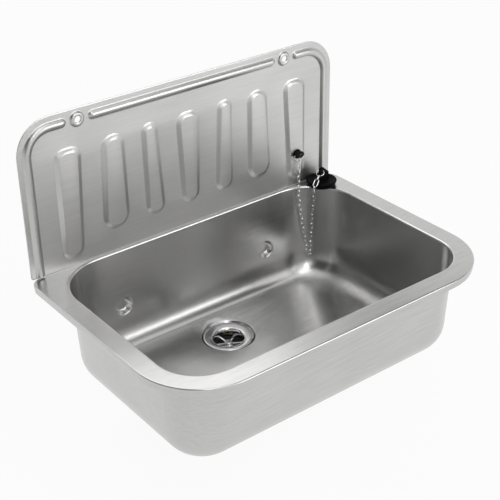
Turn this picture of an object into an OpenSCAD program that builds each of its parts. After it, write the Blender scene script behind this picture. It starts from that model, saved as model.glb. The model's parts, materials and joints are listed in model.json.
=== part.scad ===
// Wall-hung utility sink with one drawn bowl, a ribbed splashback, a waste fitting, a plug and its chain.
// Origin: the wall plane, on the centre line, at half the height of the rear fold. Front is -Y, up is +Z.
// Heights inside the modules are measured from the top of the rim, and on_rim() lifts them into place.

/* [Basin] */
// Overall width across the folded rim
basin_w = 500; // [475:1:640]
// Wall plane to the front of the rim
basin_d = 336; // [310:1:420]
// Thickness of the basin sheet
sheet_t = 0.9; // [0.7:0.1:1.4]
// Height of the folded-down rim edge
edge_h = 10; // [8:0.5:16]
// Outer bend radius of the rim edge
bend_r = 1.6; // [1.5:0.1:2.1]
// Plan radius of the front rim corners
front_corner_r = 87; // [80:1:100]
// Plan radius of the rear rim corners
rear_corner_r = 18; // [10:1:24]

/* [Bowl] */
// Width of the rim beside the bowl
side_rim_w = 27.5; // [22:0.5:40]
// Width of the rim in front of the bowl
front_rim_w = 29.4; // [24:0.2:45]
// Wall plane to the rear wall of the bowl
rear_rim_w = 5.2; // [5:0.1:8]
// Radius of the rolled edge between rim and bowl
roll_r = 3; // [2:0.1:3.4]
// Plan radius of the front bowl corners
bowl_front_r = 56; // [50:1:70]
// Plan radius of the rear bowl corners
bowl_rear_r = 70; // [60:1:80]
// Depth of the bowl at the edge of its floor
bowl_depth = 140; // [130:1:200]
// How far each wall leans in by the bottom
wall_draft = 5; // [2:0.5:8]
// Radius between walls and floor
base_r = 42; // [30:1:44]
// The same radius, measured across, at the rear wall
base_rear_r = 27; // [20:1:28]
// Fall of the floor towards the drain
floor_fall = 5; // [3:0.5:10]

/* [Pressed recesses] */
// Centre line to each dished recess in the rear wall of the bowl
dish_x = 121; // [100:1:126]
// Rim to the centre of each dished recess
dish_drop = 83; // [60:1:84]
// Radius of each recess at the bowl wall
dish_r = 13; // [11:0.5:14]
// Radius of its flat bottom
dish_floor_r = 9; // [7:0.5:10]

/* [Splashback] */
// Rim edge to the side edge of the splashback
panel_side = 4; // [2:0.5:10]
// Height of the splashback above the rim
panel_h = 211; // [200:1:260]
// Thickness of its sheet
panel_t = 0.8; // [0.6:0.1:1]
// Radius of the upper corners
panel_corner_r = 47.5; // [44:0.5:60]
// Radius of the lower corners
panel_foot_r = 4; // [2:0.5:5]
// Width of the hem folded back along the edge
hem_w = 6; // [4:0.5:6.5]
// Side edge of the splashback to the middle of the bead
bead_side = 13; // [12.5:0.5:18]
// Top edge of the splashback to the middle of the bead
bead_top = 14.5; // [13:0.5:20]
// Width of the raised bead
bead_w = 11; // [9:0.5:12]
// Height of the raised bead
bead_h = 4; // [3:0.25:4.5]
// Radius of the bead's corners along its middle
bead_corner_r = 34; // [30:1:46]
// Side edge of the splashback to each fixing hole
hole_side = 85; // [82:0.5:110]
// Radius of each fixing hole
hole_r = 4; // [3:0.25:5]
// Hole centre to the end of the bead's flat run
bead_break = 21.5; // [18:0.5:26]
// Radius of the raised boss round each hole
boss_r = 10; // [9:0.5:12]
// Height of that boss
boss_h = 3; // [2:0.25:4]

/* [Splashback ribs] */
// Width of the middle rib at its top
mid_top_w = 40; // [30:0.5:48]
// Width of the middle rib at its foot
mid_foot_w = 29; // [24:0.5:40]
// Centre line to the top of each second rib
second_x = 60; // [54:0.5:66]
// How far the second rib's foot stands outwards of its top
second_lean = -4; // [-8:0.5:4]
// Width of the second rib at its top
second_top_w = 26; // [26:0.5:34]
// Width of the second rib at its foot
second_foot_w = 32; // [24:0.5:36]
// Centre line to the top of each third rib
third_x = 114.3; // [110:0.1:118]
// How far the third rib's foot stands outwards of its top
third_lean = 2.7; // [-2:0.1:5]
// Width of the third rib at its top
third_top_w = 34.5; // [28:0.5:38]
// Width of the third rib at its foot
third_foot_w = 42; // [30:0.5:44]
// Side edge of the splashback to the top of the outer rib's middle
outer_side = 67; // [62:0.5:72]
// How far the outer rib's foot stands outwards of its top
outer_lean = 4.5; // [-2:0.5:8]
// Width of the outer rib at its top
outer_top_w = 41; // [34:0.5:42]
// Width of the outer rib at its foot
outer_foot_w = 33; // [30:0.5:38]
// Height of the rib tops above the rim
rib_top_z = 164; // [150:1:175]
// Height of the inner ribs' feet above the rim
rib_foot_z = 31.5; // [20:0.5:45]
// Height of the outer ribs' feet above the rim
outer_foot_z = 10; // [9:0.5:16]
// How far a rib stands out
rib_h = 3.5; // [2.5:0.25:4.5]
// Width of a rib's sloping side
rib_slope = 7; // [5:0.5:8]
// Corner radius at a rib's top, which a narrow rib limits
rib_corner_r = 17; // [10:0.5:18]

/* [Waste] */
// Wall plane to the middle of the drain
drain_y = 78; // [76:1:120]
// Radius of the recess round the drain
recess_r = 38; // [37.5:0.5:40]
// Depth of that recess
recess_drop = 4; // [3:0.25:6]
// Radius of the hole in the basin
waste_hole_r = 24.5; // [24.3:0.1:25]
// Radius of the waste flange
flange_r = 34.5; // [33:0.5:34.5]
// Thickness of the waste flange at its edge
flange_t = 1.6; // [1.2:0.1:2.5]
// Radius of the flange's throat
throat_r = 23; // [22.5:0.1:23.4]
// Inner radius of the waste cup
cup_r = 21; // [19:0.5:21.5]
// Depth of the waste cup under the flange
cup_depth = 12.5; // [11:0.5:18]
// Thickness of the cup wall
cup_wall = 1.2; // [0.8:0.1:1.3]
// Radius of the hub in the strainer
hub_r = 6.5; // [6.5:0.25:8]
// Number of strainer spokes
spokes = 6; // [3:1:8]
// Width of a spoke
spoke_w = 3; // [2:0.25:4]
// Thickness of the strainer
spoke_t = 2; // [1.5:0.25:3]
// Thickness of the seal under the flange
flange_seal_t = 1; // [0.8:0.1:2]
// Thickness of the seal under the basin
floor_seal_t = 2.5; // [2:0.1:4]
// Radius of the waste body's top flange
body_flange_r = 36; // [34:0.5:40]
// Thickness of that flange
body_flange_t = 4; // [3:0.5:6]
// Wall thickness of the waste body
body_wall = 3.4; // [2.5:0.1:4]
// Length of the waste body
body_len = 54; // [50:1:80]
// Outer radius of the outlet thread
thread_r = 23.9; // [23.5:0.1:24.2]
// Length of the outlet thread
thread_len = 20; // [16:1:24]
// Radius of the boss inside the waste body
boss_core_r = 7; // [6.5:0.25:8]
// Length of that boss
boss_len = 18; // [14:1:24]
// Length of the threaded insert
insert_len = 10; // [8:1:12]
// Radius of the clamp screw
clamp_r = 3; // [2.5:0.25:3.5]
// Radius of the clamp screw's head
clamp_head_r = 5.4; // [5:0.1:6]
// Height of the clamp screw's head
clamp_head_h = 2.4; // [2:0.1:3]

/* [Chain anchor] */
// Height of the anchor above the rim
anchor_z = 50; // [46:1:80]
// Radius of the anchor screw's thread
anchor_screw_r = 2; // [1.8:0.1:2.2]
// Radius of the smooth shoulder that the head turns on
shoulder_r = 2.6; // [2.5:0.1:2.8]
// Radius of the anchor's round foot
anchor_foot_r = 7; // [6.5:0.25:8]
// Thickness of that foot
anchor_foot_t = 1.6; // [1.2:0.1:2.5]
// Radius of the anchor's cross barrel
barrel_r = 4.4; // [4.4:0.1:5]
// Length of the cross barrel
barrel_len = 15; // [13:0.5:18]

/* [Chain] */
// Diameter of the chain's wire
wire_d = 1.2; // [1:0.05:1.3]
// Radius of a link's round ends, along the middle of the wire
link_r = 1.9; // [1.8:0.05:2.2]
// Distance from link to link
link_pitch = 7.4; // [6.6:0.1:8]
// Free play between two links
link_play = 0.3; // [0.2:0.05:0.4]
// Drop of the shackle from its barrel to its lowest wire
shackle_drop = 10.5; // [9:0.5:14]
// Length that the large link adds to the chain
big_pitch = 11; // [10:0.5:12]
// Radius of the large link's ends, along the middle of the wire
big_r = 3; // [2.4:0.1:3.2]

/* [Plug] */
// Rim's side edge to the middle of the plug
plug_side = 37; // [35:0.5:40]
// Wall plane to the middle of the plug
plug_back = 24.6; // [24.6:0.2:28]
// Radius of the plug where it is widest
plug_r = 22; // [20:0.5:22.5]
// Radius of the plug at its bottom
plug_foot_r = 19.8; // [18:0.2:20]
// Thickness of the plug
plug_t = 8; // [7:0.5:9]
// Height of the fin's eye above the plug
eye_h = 14; // [12:0.5:16]
// Radius of the eye
eye_r = 2; // [2:0.1:2.4]
// Radius of the rubber round the eye
fin_r = 4.6; // [4.4:0.1:5]
// Length of the fin from its eye to its low end
fin_len = 12.5; // [10:0.5:15]
// Height of the fin's low end
fin_end_h = 9.8; // [6:0.2:11]
// Thickness of the fin
fin_t = 3.2; // [2.8:0.1:3.4]
// Radius of the ring in the eye, along the middle of its wire
ring_r = 5.5; // [5.2:0.1:6]

/* [Hidden] */
$fn = 64;
// Sinks a cutting shape past the face that it opens
cut = 1;
rim_z = edge_h / 2;

// Rounded plan outlines: half width, front y, rear y, front corner radius, rear corner radius
rim_plan = [basin_w / 2, -basin_d, 0, front_corner_r, rear_corner_r];
bowl_plan = [
    basin_w / 2 - side_rim_w, -basin_d + front_rim_w, -rear_rim_w, bowl_front_r, bowl_rear_r
];
// Steps round a corner, steps along the rear, left, front and right sides, and the least corner after the draft
arc_n = 10;
side_n = [12, 4, 4, 4];
least_corner_r = 4;
wall_foot = bowl_depth - base_r;
recess_z = -(bowl_depth + floor_fall);
seat_z = recess_z - recess_drop;
recess_slope = 3;

// The rear wall's angle from upright, and its place at the height of the recesses
wall_tilt = atan(wall_draft / (wall_foot - roll_r));
dish_wall_y = -rear_rim_w - wall_draft * (dish_drop - roll_r) / (wall_foot - roll_r);
// The highest corner of a recess just meets the wall plane
dish_depth = (-dish_wall_y - (dish_floor_r + sheet_t) * sin(wall_tilt)) / cos(wall_tilt) - sheet_t;

// Splashback: depths are measured forwards from the wall plane, where its hem lies
panel_w = basin_w - 2 * panel_side;
front_d = 2 * panel_t;
bead_r = (bead_w * bead_w / 4 + bead_h * bead_h) / (2 * bead_h);
bead_d = front_d - bead_r + bead_h;
bead_x = panel_w / 2 - bead_side;
bead_z = panel_h - bead_top;
hole_x = panel_w / 2 - hole_side;
boss_taper = 2;
rib_d = front_d + rib_h;

// Ribs: top x, top width, foot x, foot width, foot height
outer_x = panel_w / 2 - outer_side;
ribs = [
    [0, mid_top_w, 0, mid_foot_w, rib_foot_z],
    [second_x, second_top_w, second_x + second_lean, second_foot_w, rib_foot_z],
    [third_x, third_top_w, third_x + third_lean, third_foot_w, rib_foot_z],
    [outer_x, outer_top_w, outer_x + outer_lean, outer_foot_w, outer_foot_z]
];
// A rib's edge from its flat top outwards, as shares of its slope and its height
rib_edge = [[1, 1], [0.79, 0.86], [0.21, 0.14], [0, 0]];
rib_foot_n = 10;
rib_top_n = 5;
least_top_flat = 1;

// Waste levels
flange_z = seat_z + flange_seal_t;
body_z = seat_z - sheet_t - floor_seal_t;
cup_floor_z = flange_z - cup_depth;
cup_play = 0.3;
body_bore_r = cup_r + cup_wall + cup_play;
shoulder_z = cup_floor_z - cup_play;
outlet_r = thread_r - body_wall;
body_end_z = body_z - body_len;
boss_top_z = shoulder_z - 6;
insert_r = clamp_r + 1.6;
screw_play = 0.2;
thread_play = 0.05;
washer_t = 0.8;
clamp_seat_z = cup_floor_z + spoke_t + washer_t;

// Chain anchor: depths are measured forwards from the wall plane
turn_play = 0.08;
anchor_rib = ribs[3];
anchor_rise = (anchor_z - anchor_rib[4] - anchor_rib[3] / 2)
    / (rib_top_z - rib_corner_r - anchor_rib[4] - anchor_rib[3] / 2);
anchor_x = anchor_rib[2] + (anchor_rib[0] - anchor_rib[2]) * anchor_rise;
foot_d = rib_d + turn_play;
barrel_sink = 0.8;
barrel_d = foot_d + anchor_foot_t + barrel_r - barrel_sink;
screw_head_r = shoulder_r + 0.7;
screw_head_h = 2;
head_seat_d = barrel_d + barrel_r - screw_head_h - 0.2;
anchor_nut_t = 2.4;
anchor_nut_r = 4;
anchor_washer_r = 5;
rib_back_d = rib_d - panel_t;
barrel_end_r = 3;
barrel_core = 4;

// Chain
wire_r = wire_d / 2;
wire_fn = 24;
pin_play = 0.08;
pin_in = 3;
joint_step = wire_r + link_play / 2;
anchor_at = [anchor_x, -barrel_d, anchor_z];
shackle_x = barrel_len / 2 + wire_r + 0.3;
shackle_foot_x = 1.6;
shackle_knee = barrel_end_r + wire_r;
// Middles of the wire joints along the anchor's chain, from the shackle down, beside the anchor
anchor_route = [
    for (p = [
        [0, 0, joint_step - shackle_drop],
        [-2.2, -2.2, -22],
        [-4.2, -4.2, -38],
        [-5.2, -5.8, -58],
        [-4.8, -7.8, -78],
        [-3.2, -10.2, -98],
        [-1.2, -12.2, -116],
        [0.8, -13.8, -132],
        [2.2, -15.2, -146],
        [2.8, -16.6, -154],
        [4.6, -22.2, -160]
    ]) anchor_at + p
];

// Plug and its chain: the chain leaves the eye in one plan direction
plug_at = [basin_w / 2 - plug_side, -plug_back, 0];
plug_edge = 1.5;
eye_at = plug_at + [0, 0, plug_t + eye_h];
lead_angle = 205;
lead = [cos(lead_angle), sin(lead_angle), 0];
down = [0, 0, -1];
ring_dip = 28.8;
ring_way = cos(ring_dip) * lead + sin(ring_dip) * down;
big_dip = 40;
big_way = cos(big_dip) * lead + sin(big_dip) * down;
ring_joint = eye_at + (2 * ring_r - joint_step) * ring_way;
big_joint = ring_joint + link_pitch * ring_way;
drop_joint = big_joint + big_pitch * big_way;
// The plug's chain below the large link, beside that link's lower end
plug_route = [
    for (p = [
        [0, 0, 0],
        [-2.6, -1.2, -6.7],
        [-3.2, -1.1, -26],
        [-4.2, 0.2, -56],
        [-4.9, 1.4, -86],
        [-4.7, 2.2, -111]
    ]) drop_joint + p
];
// Twists of the links round their own length: one side faces the front left
ring_link_twist = 65;
big_twist = lead_angle - 90;
plug_chain_twist = lead_angle;
anchor_chain_twist = 90;

// Moves
module on_rim() translate([0, 0, rim_z]) children();

module at_drain(z = 0) translate([0, -drain_y, z]) children();

// Lays a plan on the wall: its x stays, its y is height, and its z is depth forwards
module on_wall(d = 0) translate([0, -d, 0]) rotate([90, 0, 0]) children();

module both_sides() {
    children();
    mirror([1, 0, 0])
        children();
}

// Rounded outlines as rings of points
function grow(s, o) = [s[0] + o, s[1] - o, s[2] + o, s[3] + o, s[4] + o];

function arc(x, y, r, from, to, n) = [
    for (i = [0 : n])
        let (a = from + (to - from) * i / n)
        [x + r * cos(a), y + r * sin(a)]
];

// The points of a rounded plan outline, anticlockwise from above
function plan_points(s) =
    let (
        corners = [
            arc(s[0] - s[4], s[2] - s[4], s[4], 0, 90, arc_n),
            arc(s[4] - s[0], s[2] - s[4], s[4], 90, 180, arc_n),
            arc(s[3] - s[0], s[1] + s[3], s[3], 180, 270, arc_n),
            arc(s[0] - s[3], s[1] + s[3], s[3], 270, 360, arc_n)
        ]
    )
    [
        for (k = [0 : 3])
            let (a = corners[k], b = corners[(k + 1) % 4])
            each concat(a, [for (j = [1 : side_n[k] - 1]) a[arc_n] + (b[0] - a[arc_n]) * j / side_n[k]])
    ];

function level(points, z) = [for (p = points) [p[0], p[1], z]];

function reversed(v) = [for (i = [len(v) - 1 : -1 : 0]) v[i]];

function halfway(a, b) = [for (i = [0 : len(a) - 1]) (a[i] + b[i]) / 2];

// Points moved along their rays onto a circle round the drain
function drain_circle(points, r) =
    [for (p = points) let (d = [p[0], p[1] + drain_y]) [0, -drain_y] + r * d / norm(d)];

// A closed solid through rings of equal count, from its near pole to its far pole
module loft(rings, near, far) {
    n = len(rings[0]);
    m = len(rings);
    points = concat([near], [for (r = rings) each r], [far]);
    last = len(points) - 1;
    sides = [
        for (k = [0 : m - 2], i = [0 : n - 1])
            let (a = 1 + k * n + i, b = 1 + k * n + (i + 1) % n)
            each [[a, b, b + n], [a, b + n, a + n]]
    ];
    near_fan = [for (i = [0 : n - 1]) [0, 1 + (i + 1) % n, 1 + i]];
    far_fan = [for (i = [0 : n - 1]) [last, 1 + (m - 1) * n + i, 1 + (m - 1) * n + (i + 1) % n]];
    polyhedron(points = points, faces = concat(near_fan, sides, far_fan), convexity = 8);
}

// The bowl's outline at an angle round its base curve, on one face of the sheet
function base_plan(a, t) =
    let (
        k = base_r * (1 - cos(a)) + wall_draft - t * cos(a),
        kr = base_rear_r * (1 - cos(a)) + wall_draft - t * cos(a)
    )
    [
        bowl_plan[0] - k,
        bowl_plan[1] + k,
        bowl_plan[2] - kr,
        max(least_corner_r, bowl_plan[3] - k),
        max(least_corner_r, bowl_plan[4] - k)
    ];

function base_ring(a, t) = level(plan_points(base_plan(a, t)), -wall_foot - (base_r + t) * sin(a));

// Rings of one face of the basin, from the drain out to the foot of the folded edge
function floor_rings(t) =
    let (
        edge = plan_points(base_plan(90, t)),
        recess = drain_circle(edge, recess_r + t / 2)
    )
    [
        level(drain_circle(edge, recess_r - recess_slope + t / 2), seat_z - t),
        level(recess, recess_z - t),
        level(halfway(edge, recess), -bowl_depth - floor_fall / 2 - t)
    ];

function roll_ring(a, t) =
    level(plan_points(grow(bowl_plan, roll_r - (roll_r - t) * sin(a))), (roll_r - t) * cos(a) - roll_r);

function bend_ring(a, t) =
    level(plan_points(grow(rim_plan, (bend_r - t) * cos(a) - bend_r)), (bend_r - t) * sin(a) - bend_r);

function basin_face(t) = concat(
    floor_rings(t),
    [for (a = [90 : -15 : 0]) base_ring(a, t)],
    [for (a = [90 : -30 : 0]) roll_ring(a, t)],
    [for (a = [90 : -30 : 0]) bend_ring(a, t)],
    [level(plan_points(grow(rim_plan, -t)), -edge_h)]
);

// The recesses lean with the wall that they are pressed into
module at_dishes()
    both_sides()
        translate([dish_x, dish_wall_y, -dish_drop])
            rotate([-90 - wall_tilt, 0, 0])
                rotate_extrude()
                    children();

module basin() {
    color("silver")
        on_rim()
            difference() {
                union() {
                    loft(
                        concat(basin_face(0), reversed(basin_face(sheet_t))),
                        [0, -drain_y, seat_z],
                        [0, -drain_y, seat_z - sheet_t]
                    );
                    at_dishes()
                        polygon([
                            [0, sheet_t / 2],
                            [dish_r + sheet_t, sheet_t / 2],
                            [dish_floor_r + sheet_t, dish_depth + sheet_t],
                            [0, dish_depth + sheet_t]
                        ]);
                }
                at_dishes()
                    polygon([[0, -cut], [dish_r, -cut], [dish_r, 0], [dish_floor_r, dish_depth], [0, dish_depth]]);
                at_drain(seat_z - sheet_t - cut)
                    cylinder(h = sheet_t + 2 * cut, r = waste_hole_r);
            }
}

// The splashback's outline, drawn in by a margin
module panel_outline(inset) {
    w = panel_w / 2 - inset;
    top = panel_h - inset;
    top_r = panel_corner_r - inset;
    foot_r = max(panel_foot_r, inset + 1) - inset;
    translate([-w, inset + foot_r])
        square([2 * w, top - top_r - inset - foot_r]);
    translate([-w + foot_r, inset])
        square([2 * (w - foot_r), panel_h / 2]);
    translate([-w + top_r, panel_h / 2])
        square([2 * (w - top_r), top - panel_h / 2]);
    for (side = [-1, 1]) {
        translate([side * (w - foot_r), inset + foot_r])
            circle(r = foot_r);
        translate([side * (w - top_r), top - top_r])
            circle(r = top_r);
    }
}

// The bead as a round bar of a given radius, sunk so that only its crown stands out
module bead_bar(r) {
    on_wall(bead_d) {
        translate([bead_break - hole_x, bead_z, 0])
            rotate([0, 90, 0])
                cylinder(h = 2 * (hole_x - bead_break), r = r);
        both_sides() {
            for (x = [hole_x - bead_break, hole_x + bead_break])
                translate([x, bead_z, 0])
                    sphere(r = r);
            translate([hole_x + bead_break, bead_z, 0])
                rotate([0, 90, 0])
                    cylinder(h = bead_x - bead_corner_r - hole_x - bead_break, r = r);
            translate([bead_x - bead_corner_r, bead_z - bead_corner_r, 0])
                rotate_extrude(angle = 90)
                    translate([bead_corner_r, 0])
                        circle(r = r);
            translate([bead_x, 0, 0])
                rotate([-90, 0, 0])
                    cylinder(h = bead_z - bead_corner_r, r = r);
        }
    }
}

// A rib's outline, anticlockwise from the front, drawn in by a margin
function rib_outline(rib, inset) =
    let (
        corner_r = min(rib_corner_r, rib[1] / 2 - least_top_flat / 2),
        foot = [rib[2], rib[4] + rib[3] / 2],
        right = [rib[0] + rib[1] / 2 - corner_r, rib_top_z - corner_r],
        left = [rib[0] - rib[1] / 2 + corner_r, rib_top_z - corner_r],
        to_right = right - foot,
        to_left = left - foot,
        spread = rib[3] / 2 - corner_r,
        a_right = atan2(to_right[1], to_right[0]) - acos(spread / norm(to_right)),
        a_left = atan2(to_left[1], to_left[0]) + acos(spread / norm(to_left)),
        foot_r = rib[3] / 2 - inset,
        top_r = corner_r - inset
    )
    concat(
        arc(foot[0], foot[1], foot_r, a_left, 360 + a_right, rib_foot_n),
        arc(right[0], right[1], top_r, a_right, 90, rib_top_n),
        arc(left[0], left[1], top_r, 90, a_left, rib_top_n)
    );

// A raised rib on a face at a given depth, with a straight root behind it
module rib_form(rib, face_d, root_d) {
    rings = concat(
        [for (e = rib_edge) level(rib_outline(rib, e[0] * rib_slope), face_d + e[1] * rib_h)],
        [level(rib_outline(rib, 0), face_d - root_d)]
    );
    middle = [(rib[0] + rib[2]) / 2, (rib_top_z + rib[4]) / 2];
    on_wall()
        loft(
            rings,
            [middle[0], middle[1], face_d + rib_h],
            [middle[0], middle[1], face_d - root_d]
        );
}

module all_ribs(face_d, root_d) {
    rib_form(ribs[0], face_d, root_d);
    both_sides()
        for (k = [1 : 3])
            rib_form(ribs[k], face_d, root_d);
}

// A ring pressed forwards round each fixing hole
module at_holes()
    both_sides()
        on_wall()
            translate([hole_x, bead_z, 0])
                children();

module splashback() {
    mid_d = panel_t + panel_t / 2;
    color("gainsboro")
        on_rim()
            difference() {
                union() {
                    on_wall(panel_t)
                        linear_extrude(panel_t)
                            panel_outline(0);
                    on_wall()
                        linear_extrude(panel_t)
                            difference() {
                                panel_outline(0);
                                panel_outline(hem_w);
                            }
                    intersection() {
                        bead_bar(bead_r);
                        translate([-panel_w / 2, -mid_d - 2 * bead_r, 0])
                            cube([panel_w, 2 * bead_r, panel_h]);
                    }
                    at_holes()
                        rotate_extrude()
                            polygon([
                                [0, mid_d],
                                [boss_r, mid_d],
                                [boss_r, front_d],
                                [boss_r - boss_taper, front_d + boss_h],
                                [0, front_d + boss_h]
                            ]);
                    all_ribs(front_d, panel_t / 2);
                }
                bead_bar(bead_r - panel_t);
                at_holes()
                    rotate_extrude()
                        polygon([
                            [hole_r + panel_t, panel_t - cut],
                            [boss_r, panel_t - cut],
                            [boss_r, panel_t],
                            [boss_r - boss_taper, panel_t + boss_h],
                            [hole_r + panel_t, panel_t + boss_h]
                        ]);
                at_holes()
                    cylinder(h = front_d + boss_h + cut, r = hole_r);
                all_ribs(panel_t, cut);
                on_wall()
                    translate([anchor_x, anchor_z, 0])
                        cylinder(h = rib_d + cut, r = anchor_screw_r + screw_play);
            }
}

module waste_flange() {
    top_z = flange_z + flange_t;
    edge = flange_t / 4;
    lip_z = flange_z + 0.1;
    neck_r = waste_hole_r - 0.4;
    color("whitesmoke")
        on_rim()
            at_drain() {
                rotate_extrude()
                    polygon([
                        [flange_r - edge, flange_z],
                        [flange_r, flange_z + edge],
                        [flange_r, top_z - edge],
                        [flange_r - edge, top_z],
                        [flange_r - 4.5, top_z],
                        [throat_r, lip_z],
                        [cup_r, lip_z - 2],
                        [cup_r, cup_floor_z],
                        [cup_r + cup_wall, cup_floor_z],
                        [cup_r + cup_wall, flange_z - 3],
                        [neck_r, flange_z - 1.2],
                        [neck_r, flange_z]
                    ]);
                translate([0, 0, cup_floor_z])
                    difference() {
                        union() {
                            cylinder(h = spoke_t, r = hub_r);
                            for (i = [1 : spokes])
                                rotate([0, 0, (i - 0.5) * 360 / spokes])
                                    translate([0, -spoke_w / 2, 0])
                                        cube([cup_r + cup_wall / 2, spoke_w, spoke_t]);
                        }
                        translate([0, 0, -cut])
                            cylinder(h = spoke_t + 2 * cut, r = clamp_r + screw_play);
                    }
            }
}

module ring_seal(z, t, inner_r, outer_r) {
    color("dimgray")
        on_rim()
            at_drain(z)
                difference() {
                    cylinder(h = t, r = outer_r);
                    translate([0, 0, -cut])
                        cylinder(h = t + 2 * cut, r = inner_r);
                }
}

module flange_seal() ring_seal(seat_z, flange_seal_t, waste_hole_r + 0.5, flange_r - 1);

module floor_seal() ring_seal(body_z, floor_seal_t, waste_hole_r + 0.5, body_flange_r - 1);

module waste_body() {
    boss_floor_z = boss_top_z - boss_len;
    thread_z = body_end_z + thread_len;
    color("black")
        on_rim()
            at_drain() {
                rotate_extrude()
                    polygon([
                        [body_bore_r, body_z],
                        [body_flange_r, body_z],
                        [body_flange_r, body_z - body_flange_t],
                        [body_bore_r + body_wall, body_z - body_flange_t],
                        [body_bore_r + body_wall, thread_z],
                        [thread_r, thread_z],
                        [thread_r, body_end_z],
                        [outlet_r, body_end_z],
                        [outlet_r, shoulder_z],
                        [body_bore_r, shoulder_z]
                    ]);
                difference() {
                    union() {
                        translate([0, 0, boss_floor_z])
                            cylinder(h = boss_len, r = boss_core_r);
                        for (a = [0, 90])
                            rotate([0, 0, a])
                                translate([-outlet_r - body_wall / 2, -1.25, boss_floor_z])
                                    cube([2 * outlet_r + body_wall, 2.5, boss_len - 2]);
                    }
                    translate([0, 0, boss_top_z - insert_len - 2])
                        cylinder(h = insert_len + 2 + cut, r = insert_r + thread_play);
                }
            }
}

module waste_insert() {
    color("gold")
        on_rim()
            at_drain(boss_top_z - insert_len)
                difference() {
                    cylinder(h = insert_len, r = insert_r);
                    translate([0, 0, -cut])
                        cylinder(h = insert_len + 2 * cut, r = clamp_r + thread_play);
                }
}

module clamp_screw() {
    tip_z = boss_top_z - insert_len + 1;
    color("silver")
        on_rim()
            at_drain()
                difference() {
                    union() {
                        translate([0, 0, tip_z])
                            cylinder(h = clamp_seat_z - tip_z + clamp_head_h / 2, r = clamp_r);
                        translate([0, 0, clamp_seat_z])
                            cylinder(h = clamp_head_h, r = clamp_head_r);
                    }
                    translate([-clamp_head_r - cut, -0.6, clamp_seat_z + clamp_head_h - 1.2])
                        cube([2 * (clamp_head_r + cut), 1.2, 1.2 + cut]);
                }
}

module screw_washer() {
    color("silver")
        on_rim()
            at_drain(clamp_seat_z - washer_t)
                difference() {
                    cylinder(h = washer_t, r = clamp_head_r + 0.6);
                    translate([0, 0, -cut])
                        cylinder(h = washer_t + 2 * cut, r = clamp_r + screw_play);
                }
}

// Places a shape on the anchor's axis, with its z as depth forwards from the wall plane
module on_anchor(d = 0) {
    on_rim()
        translate([anchor_x, -d, anchor_z])
            rotate([90, 0, 0])
                children();
}

module anchor_screw() {
    head_d = head_seat_d + turn_play;
    tip_d = rib_back_d - washer_t - anchor_nut_t - 0.5;
    color("dimgray")
        on_anchor()
            difference() {
                union() {
                    translate([0, 0, tip_d])
                        cylinder(h = rib_d - tip_d + 1, r = anchor_screw_r);
                    translate([0, 0, rib_d])
                        cylinder(h = head_d - rib_d + 1, r = shoulder_r);
                    translate([0, 0, head_d])
                        cylinder(h = screw_head_h, r = screw_head_r);
                }
                translate([-screw_head_r - cut, -0.5, head_d + screw_head_h - 0.9])
                    cube([2 * (screw_head_r + cut), 1, 0.9 + cut]);
            }
}

module anchor_washer() {
    color("silver")
        on_anchor(rib_back_d - washer_t)
            difference() {
                cylinder(h = washer_t, r = anchor_washer_r);
                translate([0, 0, -cut])
                    cylinder(h = washer_t + 2 * cut, r = anchor_screw_r + screw_play);
            }
}

module anchor_nut() {
    color("silver")
        on_anchor(rib_back_d - washer_t - anchor_nut_t)
            difference() {
                cylinder(h = anchor_nut_t, r = anchor_nut_r, $fn = 6);
                translate([0, 0, -cut])
                    cylinder(h = anchor_nut_t + 2 * cut, r = anchor_screw_r + thread_play);
            }
}

module anchor_head() {
    half = barrel_len / 2;
    color("black")
        on_anchor()
            difference() {
                union() {
                    translate([0, 0, foot_d])
                        cylinder(h = anchor_foot_t, r = anchor_foot_r);
                    translate([0, 0, foot_d])
                        cylinder(h = barrel_d - foot_d, r = barrel_r);
                    translate([0, 0, barrel_d])
                        rotate([0, 90, 0])
                            rotate_extrude()
                                polygon([
                                    [0, -half],
                                    [barrel_end_r, -half],
                                    [barrel_r, -barrel_core],
                                    [barrel_r, barrel_core],
                                    [barrel_end_r, half],
                                    [0, half]
                                ]);
                }
                translate([0, 0, foot_d - cut])
                    cylinder(h = head_seat_d - foot_d + 2 * cut, r = shoulder_r + thread_play);
                translate([0, 0, head_seat_d])
                    cylinder(h = barrel_r + cut, r = screw_head_r + screw_play);
                for (side = [-1, 1])
                    translate([side * half, 0, barrel_d])
                        rotate([0, 90, 0])
                            cylinder(h = 2 * pin_in, r = wire_r + pin_play, center = true);
            }
}

// A round rod between two points, with a round end at the second
module rod(a, b) {
    d = b - a;
    translate(a)
        rotate([0, acos(d[2] / norm(d)), atan2(d[1], d[0])])
            cylinder(h = norm(d), r = wire_r, $fn = wire_fn);
    translate(b)
        sphere(r = wire_r, $fn = wire_fn);
}

module shackle() {
    path = [
        [barrel_len / 2 - pin_in + 0.4, 0, 0],
        [shackle_x, 0, 0],
        [shackle_x, 0, -shackle_knee],
        [shackle_foot_x, 0, -shackle_drop],
        [0, 0, -shackle_drop]
    ];
    color("silver")
        on_rim()
            translate(anchor_at)
                both_sides()
                    for (i = [0 : len(path) - 2])
                        rod(path[i], path[i + 1]);
}

// One closed link, standing upright with its width along X
module link(pitch, r) {
    straight = pitch / 2 + joint_step - r;
    for (end = [0, 1])
        mirror([0, 0, end])
            translate([0, 0, straight])
                rotate([90, 0, 0])
                    rotate_extrude(angle = 180, $fn = wire_fn)
                        translate([r, 0])
                            circle(r = wire_r);
    for (side = [-1, 1])
        translate([side * r, 0, -straight])
            cylinder(h = 2 * straight, r = wire_r, $fn = wire_fn);
}

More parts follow.
